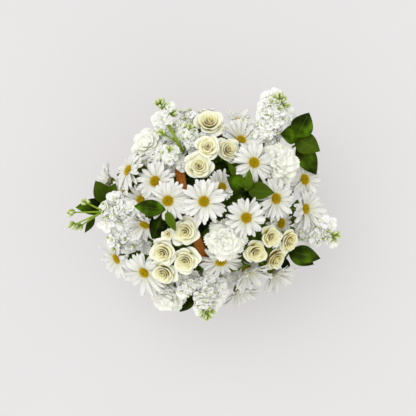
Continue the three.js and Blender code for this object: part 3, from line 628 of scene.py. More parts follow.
# Name, place right and back of the middle, height over the dome, lean outwards in degrees, width,
# and for one head the compass way it leans.
DAISY_SPRAYS = {
    "crown": [
        ("daisy_crown", -4, 6, 10, 3, 64),
        ("daisy_crown_right", 53, -16, 10, 12, 58),
        ("daisy_inner", 20, 25, -20, 20, 46),
    ],
    "left": [
        ("daisy_crown_left", -53, 7, 2, 12, 60),
        ("daisy_left_shoulder", -71, 34, -12, 22, 58),
        ("daisy_left_inner", -91, 8, -34, 30, 50),
    ],
    "right_back": [
        ("daisy_right_shoulder", 64, 59, 6, 20, 60),
        ("daisy_back_inner", 47, 91, -24, 40, 54),
        ("daisy_back_low", 46, 119, -44, 66, 54),
    ],
    "right": [
        ("daisy_right", 94, 10, 2, 30, 62),
        ("daisy_far_right", 136, 37, -4, 48, 54),
        ("daisy_right_edge", 137, -4, -16, 60, 60),
        ("daisy_right_low", 102, -24, -34, 46, 50),
    ],
    "front_left": [
        ("daisy_front_left", -87, -92, -2, 42, 64),
        ("daisy_left_edge", -127, -74, -24, 72, 62),
        ("daisy_left_low", -86, -24, -24, 48, 54, -110),
    ],
    "front": [
        ("daisy_front", 19, -76, -24, 42, 58),
        ("daisy_front_middle", 56, -89, -31, 58, 58),
        ("daisy_front_low", 45, -119, -48, 78, 58),
        ("daisy_front_right", 93, -95, -44, 72, 60),
    ],
    "left_back": [
        ("daisy_left_back", -108, 49, -4, 62, 62),
        ("daisy_left_fold", -112, 22, -40, 52, 44),
        ("daisy_left_bottom", -138, 34, -54, 84, 54),
    ],
}

# Young heads whose rays still stand up round the disc, and how steeply.
CUPPED = {
    "daisy_inner": 0.75, "daisy_left_inner": 0.4, "daisy_left_low": 0.35, "daisy_right_edge": 0.3,
    "daisy_left_fold": 0.7, "daisy_left_bottom": 0.5, "daisy_front_middle": 0.65, "daisy_front_right": 0.58,
    "daisy_front_low": 0.5, "daisy_back_inner": 0.6, "daisy_back_low": 0.25, "daisy_left_edge": 0.2,
}
# Heads whose rays turn up from the way their stems face, in degrees, or down where there is a minus.
TURNED_UP = {
    "daisy_left_edge": 14, "daisy_right_edge": 12, "daisy_far_right": 12, "daisy_front_low": 8,
    "daisy_front_middle": -4, "daisy_front_right": 4, "daisy_left_bottom": 8,
}
# Heads whose rays are longer on one side, or shorter under a leaf: its direction in degrees, and how much.
LONG_SIDE = {
    "daisy_front_left": (252, 0.32), "daisy_left_edge": (250, 0.15), "daisy_far_right": (50, 0.22),
    "daisy_right_edge": (300, 0.12), "daisy_front_right": (15, 0.1), "daisy_crown_left": (-10, 0.1),
    "daisy_back_inner": (180, 0.25), "daisy_left_low": (20, -0.4), "daisy_inner": (10, -0.4),
    "daisy_front": (290, 0.16), "daisy_front_middle": (110, 0.18),
}
# For each ring of rays: how many, how they rise, how high they start, and how far they reach.
RAY_RINGS = [(15, 0.23, 1.5, 0.95), (18, 0.11, 0.3, 1.05)]


def head_place(x, y, lift, lean, toward=None):
    """Where a head sits on the dome of flowers, and which way it faces."""
    out = (x / DOME_HALF_WIDTH) ** 2 + (y / DOME_HALF_DEPTH) ** 2
    z = DOME_FOOT + DOME_RISE * math.sqrt(max(0, 1 - out)) + lift
    way = math.atan2(y, x) if toward is None else math.radians(toward)
    tip = math.radians(lean)
    facing = np.array([math.sin(tip) * math.cos(way), math.sin(tip) * math.sin(way), math.cos(tip)])
    return np.array([x, y, z]), facing


def foam_point(places):
    """Where the stem of heads at these places ends in the foam."""
    middle = np.mean(places, axis=0)
    return np.array([middle[0] * STEMS_DRAW_IN_TO, middle[1] * STEMS_DRAW_IN_TO, STEM_ENDS_AT])


def main_stem(places, share):
    """The fork of a spray, at a share of the way up to its heads, and the stem from the foam to there."""
    foot = foam_point(places)
    fork = foot + (np.mean(places, axis=0) - foot) * share
    return fork, np.linspace(foot, fork + (fork - foot) * 0.02, 12)


def tipped(angle):
    """A turn about +Y, which tips +Z towards +X."""
    return Matrix.Rotation(angle, 4, "Y")


def leaf_grid(rows, columns):
    """How far along a petal or leaf its points lie, from 0 to 1, and how far across it, from -1 to 1."""
    return np.linspace(0, 1, rows)[:, None], np.linspace(-1, 1, columns)[None, :]


def surface(x, y, z):
    return np.stack(np.broadcast_arrays(x, y, z), axis=-1)


def neck(fork, at, facing, depth, count=9):
    """A stem that leaves its fork and bends round into the back of a head."""
    end = at - facing * depth
    bend = end - facing * 0.3 * np.linalg.norm(end - fork)
    share = np.linspace(0, 1, count)[:, None]
    return (1 - share) ** 2 * fork + 2 * share * (1 - share) * bend + share**2 * end


def backed(front, thickness):
    """Gives a sheet of points a back, thinner towards its margins, as rings round its edge."""
    normal = np.cross(np.gradient(front, axis=1), np.gradient(front, axis=0))
    normal /= np.linalg.norm(normal, axis=2, keepdims=True) + 1e-9
    margin = np.linspace(-1, 1, front.shape[1])[None, :, None]
    back = front - normal * thickness * (1 - 0.6 * margin**4)
    return np.concatenate([front, back[:, ::-1]], axis=1)


def ray_sheet(reach, width, rise, droop, dice):
    """One ray along +X: narrow at its root, ribbed, and blunt with three teeth at its tip."""
    t, u = leaf_grid(9, 7)
    t = t**0.85
    ribs = 0.5 - 0.5 * np.cos(3 * math.pi * u)
    length = (reach - RAY_ROOT) * (1 - 0.06 * u**2 - 0.045 * ribs)
    taper = np.sqrt(1 - 0.62 * np.clip((t - 0.78) / 0.22, 0, 1) ** 2.2)
    half = width / 2 * (0.46 + 0.54 * np.sin(np.minimum(t / 0.5, 1) * math.pi / 2)) * taper
    cup = dice.uniform(-0.1, 0.3)
    x = RAY_ROOT + t * length
    y = u * half + reach * dice.uniform(-0.1, 0.1) * t**2
    z = reach * (rise * t - droop * t**2.4) + cup * half * u**2
    z = z - 0.34 * ribs * np.sin(math.pi * np.minimum(t * 1.1, 1)) + dice.uniform(-1.1, 1.1) * u * t
    return surface(x, y, z)


def add_rays(shape, width, place, cupped, long_side, dice):
    way, longer = math.radians(long_side[0]), long_side[1]
    long_way = Vector((math.cos(way), math.sin(way), 0))
    for layer, (count, rise, lift, share) in enumerate(RAY_RINGS):
        for i in range(count):
            angle = (i + 0.5 * layer + dice.uniform(-0.3, 0.3)) / count * TURN
            tilt = Matrix.Rotation(math.radians(dice.uniform(-18, 18)), 4, "X")
            where = place @ spun(angle) @ Matrix.Translation((0, 0, lift)) @ tilt
            along = max(0, long_way.dot(where.to_3x3().col[0]))
            reach = width / 2 * share * dice.uniform(0.88, 1.04) * (1 + longer * along)
            lifted = rise + cupped + dice.uniform(-0.09, 0.09)
            wide = width * dice.uniform(0.096, 0.124)
            sheet = ray_sheet(reach, wide, lifted, dice.uniform(0.06, 0.34), dice)
            shape.add(backed(sheet, RAY_THICKNESS), tint=dice.random(), place=where)


def add_disc(shape, place, dice):
    dome = [(0.1, -1), (7.0, -0.4), (DISC_RADIUS, 1.0), (6.6, 2.8), (4.6, 4.5), (2, 5.2), (0.1, 5.2)]
    shape.add(turned_rows(dome, 20), DISC_GOLD, 0.1, place)
    for i in range(DISC_FLORETS):
        share = math.sqrt((i + 0.5) / DISC_FLORETS)
        out = DISC_RADIUS * share
        up = 1.2 + 4.2 * math.sqrt(1 - 0.96 * share**2) - 0.7 * math.exp(-((out / 2.4) ** 2))
        turn = spun(i * GOLDEN_ANGLE) @ Matrix.Translation((out, 0, up))
        wide = 0.55 + 0.16 * share
        tall = 0.5 + 0.9 * share * dice.uniform(0.5, 1.3)
        knob = turned_rows([(wide * 0.8, -0.6), (wide, tall * 0.5), (wide * 0.45, tall)], 6)
        tint = 0.2 + 0.7 * share * dice.uniform(0.6, 1.15)
        shape.add(knob, DISC_GOLD, tint, place @ turn @ tipped(share**2))


def add_calyx(shape, place, dice):
    cup = [(1.5, -9.4), (1.9, -8), (3.6, -6), (5.8, -3.2), (6.9, -1.4), (7.2, -0.5), (5.5, -0.1)]
    shape.add(turned_rows(cup, 24, 12, 0.04), STEM_GREEN, 0.4, place)
    t, u = leaf_grid(4, 3)
    half = 1.9 * (1 - t**2.2 * 0.85)
    for row, (count, drop) in enumerate([(11, 0.0), (9, 1.7)]):
        scale = surface(4.4 - drop * 0.9 + 3.6 * t - 0.3 * u**2, u * half, -5.6 - drop + 5.2 * t)
        skin = backed(scale[:, ::-1], LEAF_THICKNESS)
        for i in range(count):
            turn = spun((i + 0.5 * row) / count * TURN)
            shape.add(skin, STEM_GREEN, dice.uniform(0.3, 0.8), place @ turn)


def lobed_leaf(length, width, dice, lobes=3):
    """A soft leaf along +X with round lobes down each side, as garden daisies have."""
    t, u = leaf_grid(14, 7)
    notch = 0.62 + 0.38 * np.cos(t * lobes * TURN * 1.1 + 0.6)
    half = width / 2 * np.sin(math.pi * (0.06 + 0.94 * t) ** 0.75) * (0.55 + 0.45 * notch) + 0.5
    x = t * length + np.abs(u) * half * 0.35
    z = 0.22 * half * np.abs(u) - 0.16 * length * t**2 + dice.uniform(0.4, 1.0) * np.sin(t * 9 + u * 2)
    return surface(x, u * half, z)


def on_stem(line, share, angle, rise):
    """A frame on a stem whose +X points out of it at a compass angle, and upwards by its rise."""
    point = line[int(share * (len(line) - 1))]
    turn = spun(angle) @ tipped(-rise)
    return Matrix.Translation(Vector(point)) @ turn


def add_low_leaves(shape, line, count, lobes, dice):
    """Leaves where a stem comes out of the foam. They spread outwards and hide its edge from the side."""
    low = [point for point in line if LOW_LEAVES_FROM < point[2] < LOW_LEAVES_TO]
    for i in range(count):
        point = low[i * len(low) // count]
        way = math.atan2(point[1], point[0]) + dice.uniform(-1.3, 1.3)
        turn = spun(way) @ tipped(dice.uniform(-0.25, 0.6))
        length = dice.uniform(36, 50) * min(1, LOW_LEAVES_SHORTER_FROM / math.hypot(point[0], point[1]))
        leaf = lobed_leaf(length, dice.uniform(16, 22), dice, lobes)
        skin = backed(leaf, LEAF_THICKNESS)
        shape.add(skin, SOFT_LEAF, dice.random(), Matrix.Translation(Vector(point)) @ turn)


def let_light_through(shader, weight, spread, depth=1.0):
    """Petals are thin enough to glow where the light falls on their other side."""
    shader.inputs["Subsurface Weight"].default_value = weight
    shader.inputs["Subsurface Radius"].default_value = spread
    shader.inputs["Subsurface Scale"].default_value = depth * MM


def paint_petal(material, shader, stops, share, streaks, greys, own):
    """Colours along a petal, warmer and darker towards its root, which is partly the petal's own colour and
    partly painted shade deep in the flower; streaks that darken it, which are veins on carnations and stock
    but painted shade along the grooves of daisy rays; and a tone of its own for each petal.
    """
    streaked = darkened(material, ramp(material, along_of(material), stops), share, streaks, greys)
    set_colour(material, shader, darkened(material, streaked, 0.8, tint_of(material), own))


def ray_white():
    material, shader = start_material("ray_white", 0.62, 0.2)
    ribs = spot_waves(material, 9, 0.8, 1.0)
    stops = [(0.0, 206, 208, 140), (0.16, 230, 231, 208), (0.5, 242, 242, 235)]
    # The ribs darken each ray in streaks along it: painted shade, standing for the shade in its grooves.
    paint_petal(material, shader, stops, 0.75, ribs, [(0.34, 0.76), (0.6, 1.0)], [(0.0, 0.92), (0.6, 1.0)])
    set_bump(material, shader, ribs, 0.4, 0.7)
    let_light_through(shader, 0.6, (1.0, 1.0, 0.9))
    return material


def disc_gold():
    material, shader = start_material("disc_gold", 0.7, 0.1)
    stops = [(0.1, 118, 98, 0), (0.25, 182, 172, 14), (0.55, 206, 174, 0), (0.85, 222, 178, 2)]
    base = ramp(material, tint_of(material), stops)
    specks = noise(material, 1500, 1)
    set_colour(material, shader, darkened(material, base, 0.4, specks, [(0.3, 0.6), (0.6, 1.0)]))
    return material


def stem_green():
    material, shader = start_material("stem_green", 0.55, 0.08)
    tone = weighed(material, tint_of(material), 0.5, noise(material, 60), 0.5)
    stops = [(0.2, 62, 84, 14), (0.45, 104, 130, 26), (0.75, 146, 170, 48)]
    set_colour(material, shader, ramp(material, tone, stops))
    set_bump(material, shader, spot_waves(material, 10, 2), 0.2, 0.4)
    return material


def soft_leaf():
    material, shader = start_material("soft_leaf", 0.6, 0.03)
    rib = ramp(material, across_of(material), [(0.44, 0.0), (0.5, 1.0), (0.56, 0.0)])
    base = ramp(material, noise(material, 90), [(0.3, 48, 70, 8), (0.7, 98, 124, 30)])
    pale = sums(material, "MULTIPLY", rib, 0.4)
    set_colour(material, shader, mixed(material, pale, base, colour(116, 136, 50)))
    set_bump(material, shader, spot_waves(material, 14, 12), 0.4, 0.5)
    return material


RAY_WHITE = ray_white()
DISC_GOLD = disc_gold()
STEM_GREEN = stem_green()
SOFT_LEAF = soft_leaf()


def daisy_spray(name, heads, seed):
    dice = random.Random(seed)
    flesh = Shape(STEM_GREEN, DISC_GOLD, SOFT_LEAF)
    places = [head_place(x, y, lift, lean, *toward)[0] for _, x, y, lift, lean, _, *toward in heads]
    fork, main = main_stem(places, DAISY_FORK_AT)
    flesh.add(tube(main, MAIN_STEM_RADIUS, 10, 0.07), tint=0.35)
    for head, x, y, lift, lean, width, *toward in heads:
        at, facing = head_place(x, y, lift, lean, *toward)
        roll = dice.uniform(0, TURN)
        turned_up = head_place(x, y, lift, lean - TURNED_UP.get(head, 0), *toward)[1]
        open_place = facing_matrix(at, turned_up, roll)
        rays = Shape(RAY_WHITE)
        add_rays(rays, width, open_place, CUPPED.get(head, 0), LONG_SIDE.get(head, (0, 0)), dice)
        rays.build(head + "_rays", [head])
        line = neck(fork, at, facing, 9)
        flesh.add(tube(line, np.linspace(1.75, 1.45, len(line)), 8, 0.08), tint=dice.uniform(0.3, 0.6))
        add_calyx(flesh, facing_matrix(at, facing, roll), dice)
        add_disc(flesh, open_place, dice)
        for share in (0.3, 0.45, 0.6, 0.75):
            way = math.atan2(facing[1], facing[0]) + dice.uniform(-1.6, 1.6)
            skin = backed(lobed_leaf(dice.uniform(26, 37), dice.uniform(15, 20), dice), LEAF_THICKNESS)
            flesh.add(skin, SOFT_LEAF, dice.random(), on_stem(line, share, way, dice.uniform(-0.2, 0.5)))
    add_low_leaves(flesh, main, 8, 3, dice)
    flesh.build("daisy_flesh_" + name, ["daisy_stems_" + name])


for i, (name, heads) in enumerate(DAISY_SPRAYS.items()):
    daisy_spray(name, heads, 20 + i)


# ---- The spray roses --------------------------------------------------------------------------------
# Cream spray roses, several to a stem. Petals wrap one over the next in a spiral: upright and tight in
# the golden heart, and rolled outwards at the rim. Behind them are a green hip and five sepals.

# For each head its place right and back of the middle, height over the dome, lean outwards in degrees,
# width, and for one the compass way it leans.
ROSE_SPRAYS = {
    "rose_spray_back": [
        (3, 117, 0, 32, 45), (1, 82, 6, 8, 36), (-11, 55, -6, 6, 40), (30, 78, -7, 20, 39, 20),
    ],
    "rose_spray_front_left": [
        (-30, -35, -5, 12, 43), (-54, -39, 1, 10, 21.5), (-61, -65, 3, 22, 41),
        (-30, -76, 0, 20, 41), (-60, -94, 4, 34, 40),
    ],
    "rose_spray_front_right": [
        (90, -43, 2, 24, 32), (68, -64, -1, 24, 35), (116, -49, -2, 44, 34), (97, -75, -16, 52, 40),
    ],
}
DEEPER_CREAM = {"rose_spray_front_right": 0.5}
BUD_WIDTH = 22
BUD_PETALS = 9
ROSE_PETALS = 15
ROSE_PETAL_THICKNESS = 0.35
SEPAL_THICKNESS = 0.4
ROSE_FORK_AT = 0.6


def rose_petal(share, radius, open_wide, dice):
    """A petal that wraps the bloom about +X, from its root under the heart to its rolled rim."""
    t, u = leaf_grid(10, 11)
    t = t**0.8 * (1 - 0.16 * u**4 - 0.05 * np.exp(-((u / 0.3) ** 2)))
    wrap = math.radians(108 - 56 * share)
    rim = radius * (0.07 + 0.82 * open_wide * share**1.1) * dice.uniform(0.93, 1.05)
    top = radius * (0.44 - 0.5 * share**1.7 * open_wide + dice.uniform(-0.03, 0.03))
    foot = -radius * (0.2 + 0.5 * share)
    belly = rim * (0.96 - 0.26 * share)
    middle = top - radius * (0.46 - 0.2 * share)
    out = (1 - t) ** 2 * 0.3 * rim + 2 * t * (1 - t) * belly + t**2 * rim
    up = (1 - t) ** 2 * foot + 2 * t * (1 - t) * middle + t**2 * top
    roll = np.clip((t - 0.62) / 0.38, 0, 1) ** 2
    out = out * (1 + 0.08 * u) + roll * radius * (0.03 + 0.23 * share) * (1 - 0.5 * np.abs(u) ** 1.5)
    up = up - roll**1.7 * radius * (0.015 + 0.11 * share)
    waves = np.sin(u * dice.uniform(2.5, 5.5) + dice.uniform(0, TURN)) * t**3
    out = out + waves * radius * 0.05 * (0.4 + share)
    up = up + waves * radius * 0.055
    angle = u * wrap * np.sin(np.minimum(t + 0.25, 1) * math.pi / 2)
    return surface(out * np.cos(angle), out * np.sin(angle), up)


def add_sepals(shape, radius, curl, place, dice):
    t, u = leaf_grid(6, 3)
    half = radius * 0.16 * np.sin(math.pi * (0.2 + 0.8 * t) ** 0.8) + 0.15
    up = radius * (-0.74 + 0.42 * t - 0.5 * t**2 * curl)
    sepal = surface(radius * (0.26 + 0.5 * t), u * half, up)
    skin = backed(sepal[:, ::-1], SEPAL_THICKNESS)
    for i in range(5):
        shape.add(skin, STEM_GREEN, dice.uniform(0.3, 0.7), place @ spun(i / 5 * TURN))


def add_rose(shape, width, place, deeper, dice):
    radius = width / 2
    is_bud = width < BUD_WIDTH
    petals = BUD_PETALS if is_bud else ROSE_PETALS
    for i in range(petals):
        share = i / (petals - 1)
        petal = rose_petal(share, radius, 0.86 if is_bud else 1.0, dice)
        where = place @ spun(i * GOLDEN_ANGLE + dice.uniform(-0.25, 0.25))
        skin = backed(petal[:, ::-1], ROSE_PETAL_THICKNESS)
        shape.add(skin, ROSE_CREAM, min(1, 1 - share + deeper), where)
    hip = [(1.4, -1.12), (1.6, -1.02), (0.3 * radius, -0.92), (0.36 * radius, -0.78),
           (0.3 * radius, -0.6), (0.1, -0.5)]
    shape.add(turned_rows([(r, z * radius) for r, z in hip], 14), STEM_GREEN, 0.5, place)
    add_sepals(shape, radius, 0.3 if is_bud else 1.3, place, dice)


def rose_cream():
    material, shader = start_material("rose_cream", 0.6, 0.2)
    along = along_of(material)
    # Gold at the root, cream at the rim, and deeper gold in the heart: partly the rose's own colour, partly
    # painted warm shade between the petals.
    outer = ramp(material, along, [(0.3, 230, 218, 120), (0.6, 246, 244, 208), (0.92, 250, 250, 234)])
    inner = ramp(material, along, [(0.4, 218, 184, 60), (0.7, 240, 230, 140), (0.97, 250, 249, 220)])
    streaks = spot_waves(material, 16, 1.4)
    base = mixed(material, tint_of(material), outer, inner)
    set_colour(material, shader, darkened(material, base, 0.35, streaks, [(0.3, 0.88), (0.65, 1.0)]))
    set_bump(material, shader, streaks, 0.3, 0.35)
    let_light_through(shader, 0.85, (1.0, 0.95, 0.68), 0.6)
    return material


ROSE_CREAM = rose_cream()


def rose_spray(name, heads, seed):
    dice = random.Random(seed)
    shape = Shape(ROSE_CREAM, STEM_GREEN, SOFT_LEAF)
    placed = [(width, *head_place(x, y, lift, lean, *toward)) for x, y, lift, lean, width, *toward in heads]
    fork, main = main_stem([at for _, at, _ in placed], ROSE_FORK_AT)
    shape.add(tube(main, MAIN_STEM_RADIUS, 10), STEM_GREEN, 0.3)
    for width, at, facing in placed:
        place = facing_matrix(at, facing, dice.uniform(0, TURN))
        add_rose(shape, width, place, DEEPER_CREAM.get(name, 0), dice)
        line = neck(fork, at, facing, 0.46 * width)
        shape.add(tube(line, np.linspace(1.7, 1.4, len(line))), STEM_GREEN, dice.uniform(0.3, 0.6))
        for share in (0.35, 0.7):
            skin = backed(lobed_leaf(dice.uniform(22, 30), dice.uniform(12, 15), dice, 6), LEAF_THICKNESS)
            way = math.atan2(facing[1], facing[0]) + dice.uniform(-2, 2)
            shape.add(skin, SOFT_LEAF, dice.random(), on_stem(line, share, way, dice.uniform(-0.3, 0.3)))
    add_low_leaves(shape, main, 9, 6, dice)
    shape.build(name + "_blooms", [name])


for i, (name, heads) in enumerate(ROSE_SPRAYS.items()):
    rose_spray(name, heads, 50 + i)


# ---- The carnations ---------------------------------------------------------------------------------
# White carnations, one to a stem. Dozens of fan-shaped petals with cut, ruffled edges stand up out of
# a long green tube and spread into a ball, a little warm and dark between them.

# The same values as for the roses.
CARNATIONS = {
    "carnation_right": (101, 58, 5, 24, 67),
    "carnation_front": (26, -45, -2, 12, 66),
    "carnation_front_low": (-55, -127, -16, 34, 61),
    "carnation_left_back": (-81, 84, -20, 30, 63),
    "carnation_back": (0, 126, -44, 82, 45),
}
CARNATION_PETALS = 56
CARNATION_PETAL_THICKNESS = 0.3
CARNATION_LEAF_THICKNESS = 0.5
CARNATION_TUBE = [(1.9, -1.3), (2.3, -1.24), (4.2, -1.12), (4.9, -0.9), (5.0, -0.7), (5.8, -0.55),
                  (5.2, -0.5), (0.2, -0.6)]
STEM_JOINT = [(2.0, -2.2), (2.7, -0.6), (2.7, 0.6), (2.0, 2.2)]
STEM_JOINTS_AT = (0.45, 0.72)


def ruffled_petal(reach, end, crest, width, depth, dice,
                  rows=8, columns=15, waves=1.4, ruffle=0.085, cut=0.045):
    """A fan-shaped petal. It rises from its root towards its crest, bends out along +X to its end, and
    has a ruffled edge that is cut into teeth."""
    t, u = leaf_grid(rows, columns)
    teeth = cut * (np.arange(columns) % 2)[None, :]
    t = t * (1 - 0.14 * u**2 - teeth)
    half = width / 2 * (0.14 + 0.86 * np.clip((t - 0.2) / 0.8, 0, 1) ** 0.8)
    out = 2 * t * (1 - t) * reach * 0.22 + t**2 * reach
    up = (1 - t) ** 2 * (-depth) + 2 * t * (1 - t) * crest + t**2 * end
    outwards = np.gradient(out, axis=0)
    upwards = np.gradient(up, axis=0)
    run = np.hypot(outwards, upwards) + 1e-9
    wave = t**2.6 * np.sin(waves * math.pi * u * dice.uniform(0.8, 1.2) + dice.uniform(0, TURN))
    wave = wave + 0.4 * t**6 * np.sin(waves * 2.2 * math.pi * u + dice.uniform(0, TURN))
    wave = wave * ruffle * width
    x = out - 0.16 * half * u**2 - wave * upwards / run
    z = up + wave * outwards / run + 0.1 * half * u**2
    return surface(x, u * half, z)


def carnation_white():
    material, shader = start_material("carnation_white", 0.7, 0.15)
    # Warmer and darker towards the root: partly the petals' own colour, partly painted shade deep between
    # them.
    stops = [(0.2, 228, 222, 160), (0.55, 247, 246, 222), (0.9, 250, 250, 238)]
    streaks = spot_waves(material, 14, 2)
    paint_petal(material, shader, stops, 0.4, streaks, [(0.3, 0.9), (0.65, 1.0)], [(0.0, 0.93), (0.7, 1.0)])
    set_bump(material, shader, streaks, 0.3, 0.4)
    let_light_through(shader, 0.85, (1.0, 0.97, 0.85), 0.4)
    return material


CARNATION_WHITE = carnation_white()


def add_carnation_petals(shape, radius, place, dice):
    for i in range(CARNATION_PETALS):
        share = (i + 0.5) / CARNATION_PETALS
        across_heart = radius * 1.5 * max(0, 0.22 - share)
        spread = 1.03 * share**0.5 * dice.uniform(0.9, 1.05) + dice.uniform(-0.06, 0.04)
        reach = radius * spread + 1.3 * across_heart
        end = radius * (0.5 - 0.72 * share**1.7 + dice.uniform(-0.08, 0.08))
        crest = end + radius * (0.02 + 0.16 * share)
        width = radius * (0.42 + 0.34 * share) * dice.uniform(0.85, 1.2)
        petal = ruffled_petal(reach, end, crest, width, radius * 0.6, dice)
        turn = spun(i * GOLDEN_ANGLE + dice.uniform(-0.3, 0.3))
        where = place @ turn @ Matrix.Translation((-across_heart, 0, 0))
        shape.add(backed(petal, CARNATION_PETAL_THICKNESS), CARNATION_WHITE, dice.random(), where)


def carnation(name, x, y, lift, lean, head_width, seed):
    dice = random.Random(seed)
    at, facing = head_place(x, y, lift, lean)
    place = facing_matrix(at, facing, dice.uniform(0, TURN))
    radius = head_width / 2
    shape = Shape(CARNATION_WHITE, STEM_GREEN, SOFT_LEAF)
    add_carnation_petals(shape, radius, place, dice)
    shape.add(turned_rows([(r, z * radius) for r, z in CARNATION_TUBE], 20, 5, 0.05), STEM_GREEN, 0.55, place)
    line = neck(foam_point([at]), at, facing, 0.62 * head_width, 16)
    shape.add(tube(line, 2.0, 10), STEM_GREEN, 0.6)
    for share in STEM_JOINTS_AT:
        step = int(share * (len(line) - 1))
        joint = line[step]
        shape.add(turned_rows(STEM_JOINT, 10), STEM_GREEN, 0.7, facing_matrix(joint, line[step + 1] - joint))
        for side in (0, math.pi):
            skin = backed(lobed_leaf(dice.uniform(34, 44), 4.5, dice, 0), CARNATION_LEAF_THICKNESS)
            way = dice.uniform(0, 1) + side
            shape.add(skin, SOFT_LEAF, 0.8, on_stem(line, share, way, dice.uniform(0.5, 0.9)))
    add_low_leaves(shape, line, 8, 1, dice)
    shape.build(name + "_bloom", [name])


for i, (name, values) in enumerate(CARNATIONS.items()):
    carnation(name, *values, 70 + i)


# ---- The stock --------------------------------------------------------------------------------------
# Stems of double white stock. Frilled florets are packed round the upper stem, each a loose rosette of
# small wavy petals, and most tips still hold a cluster of greenish buds.

# Where the cut stem stands, if not under its shoots, and for each shoot its start, its tip, its reach,
# how much of its length has open florets, and the number of buds at its tip.
STOCKS = {
    "stock_back_left": ((-21, 40), [((-59, 108, 196), (-65, 141, 217), 21, 0.55, 10)]),
    "stock_back_right": (None, [((84, 98, 194), (101, 149, 222), 25, 1, 18)]),
    "stock_left": (None, [((-112, -6, 188), (-174, -10, 196), 26, 0.6, 0)]),
    "stock_right": (None, [((136, -34, 156), (180, -42, 168), 22, 0.95, 9)]),
    "stock_front": ((-14, -28), [((-6, -102, 182), (-1, -152, 190), 24, 0.95, 12)]),
    "stock_back": ((-6, 26), [
        ((-20, 86, 212), (-25, 106, 236), 18, 1, 5),
        ((-21, 116, 182), (-32, 134, 198), 18, 1, 0),
    ]),
    "stock_crown": (None, [((-50, 60, 210), (-52, 76, 238), 21, 1, 3)]),
    "stock_front_left": (None, [((-27, -101, 178), (-30, -124, 199), 18, 1, 0)]),
    "stock_left_low": (None, [((-112, -42, 166), (-142, -54, 172), 24, 1, 0)]),
}
# Thin branchlets with a few closed buds at the end: where they leave the stem, and their ends.
BRANCHLETS = {
    "stock_back_left": [((-56, 112, 200), (-54, 135, 216)), ((-60, 116, 202), (-49, 128, 212)),
                        ((-40, 88, 206), (-60, 100, 214))],
    "stock_left": [((-144, -8, 193), (-187, -9, 199)), ((-146, -7, 193), (-167, 4, 203)),
                   ((-144, -8, 193), (-186, -26, 196)), ((-150, -10, 192), (-177, -28, 190))],
}
# Florets on short side stems, which fill in round the shoot: place, direction in degrees, and size.
SIDE_FLORETS = {
    "stock_crown": [((-38, 64, 216), 60, 11), ((-36, 56, 226), 20, 10), ((-40, 76, 207), 80, 11),
                    ((-38, 85, 198), 90, 11), ((-66, 62, 214), 160, 12), ((-60, 76, 208), 130, 12),
                    ((-76, 72, 202), 150, 12), ((-80, 62, 196), 170, 10), ((-50, 89, 196), 110, 10)],
    "stock_back_left": [((-51, 138, 219), 40, 8), ((-54, 120, 218), 30, 8), ((-59, 129, 218), 120, 7),
                        ((-61, 117, 213), 30, 10), ((-69, 121, 208), 160, 11)],
    "stock_back": [((-4, 96, 212), 40, 9), ((-36, 98, 208), 150, 11), ((-8, 76, 220), -60, 8),
                   ((-38, 112, 200), 140, 11)],
    "stock_left": [((-130, 12, 188), 110, 12), ((-142, -1, 188), 120, 11), ((-142, -24, 184), 220, 13),
                   ((-120, -26, 186), 250, 12)],
    "stock_back_right": [((83, 152, 212), 110, 11), ((80, 139, 208), 160, 12), ((79, 124, 202), 190, 13),
                         ((114, 122, 206), 0, 13), ((110, 134, 210), 20, 11), ((94, 157, 214), 100, 10)],
    "stock_right": [((176, -25, 165), 40, 11), ((164, -21, 168), 70, 12), ((177, -51, 162), -30, 10),
                    ((152, -50, 160), -80, 12)],
    "stock_front": [((-8, -90, 172), 120, 10), ((15, -92, 160), 20, 11), ((33, -106, 158), -10, 12),
                    ((43, -101, 152), 20, 12), ((27, -99, 168), 10, 11), ((54, -89, 150), 10, 12),
                    ((66, -83, 154), 30, 9), ((18, -112, 176), -20, 13), ((20, -126, 172), -30, 12),
                    ((10, -138, 178), -50, 12), ((-16, -112, 182), 180, 11), ((-9, -146, 182), 250, 10),
                    ((7, -145, 182), 300, 10)],
    "stock_front_left": [((-35, -103, 189), 200, 12), ((-24, -112, 195), -40, 12),
                         ((-34, -121, 191), 250, 11)],
    "stock_left_low": [((-96, -53, 172), -60, 12), ((-85, -59, 168), -60, 11), ((-109, -57, 170), -70, 12),
                       ((-126, -36, 176), 120, 12)],
}
# A stem that stays in sight on its way up, and the points it runs through.
STEM_RUNS = {
    "stock_back_left": [(-28, 58, 168), (-33, 73, 206), (-43, 93, 218), (-53, 112, 213), (-60, 130, 207)],
}
# For each ring of petals in a floret: how many, how far they reach, how they lift, how broad they are,
# and how far the ring is turned.
FLORET_RINGS = [(5, 1.0, 0.02, 1.15, 0), (4, 0.68, 0.22, 0.9, 0.5), (3, 0.34, 0.38, 0.55, 0.2)]
FLORET_PETAL_THICKNESS = 0.25
FLORET_SPACING = 2.9
FLORETS_AT_LEAST = 6
BUD_PROFILE = [(0.5, -1.1), (0.5, -0.5), (0.9, -0.3), (1.25, 0.2), (1.2, 0.8), (0.8, 1.5), (0.1, 1.9)]
STOCK_LEAF_THICKNESS = 0.4
BRANCHLET_BUDS = 6


def stock_white():
    material, shader = start_material("stock_white", 0.7, 0.15)
    # Green at the root and pale yellow-green above it: partly the florets' own green, partly painted
    # yellow-green shade in the crevices.
    stops = [(0.08, 176, 196, 72), (0.3, 242, 245, 212), (0.6, 253, 253, 246)]
    streaks = spot_waves(material, 9, 2)
    paint_petal(material, shader, stops, 0.4, streaks, [(0.3, 0.92), (0.65, 1.0)], [(0.0, 0.94), (0.7, 1.0)])
    let_light_through(shader, 0.85, (1.0, 0.98, 0.88), 0.4)
    return material


def bud_green():
    material, shader = start_material("bud_green", 0.6, 0.2)
    base = ramp(material, along_of(material), [(0.2, 96, 124, 16), (0.5, 146, 168, 52), (0.9, 226, 232, 184)])
    grain = noise(material, 500)
    set_colour(material, shader, darkened(material, base, 0.4, grain, [(0.3, 0.75), (0.7, 1.0)]))
    return material


STOCK_WHITE = stock_white()
BUD_GREEN = bud_green()


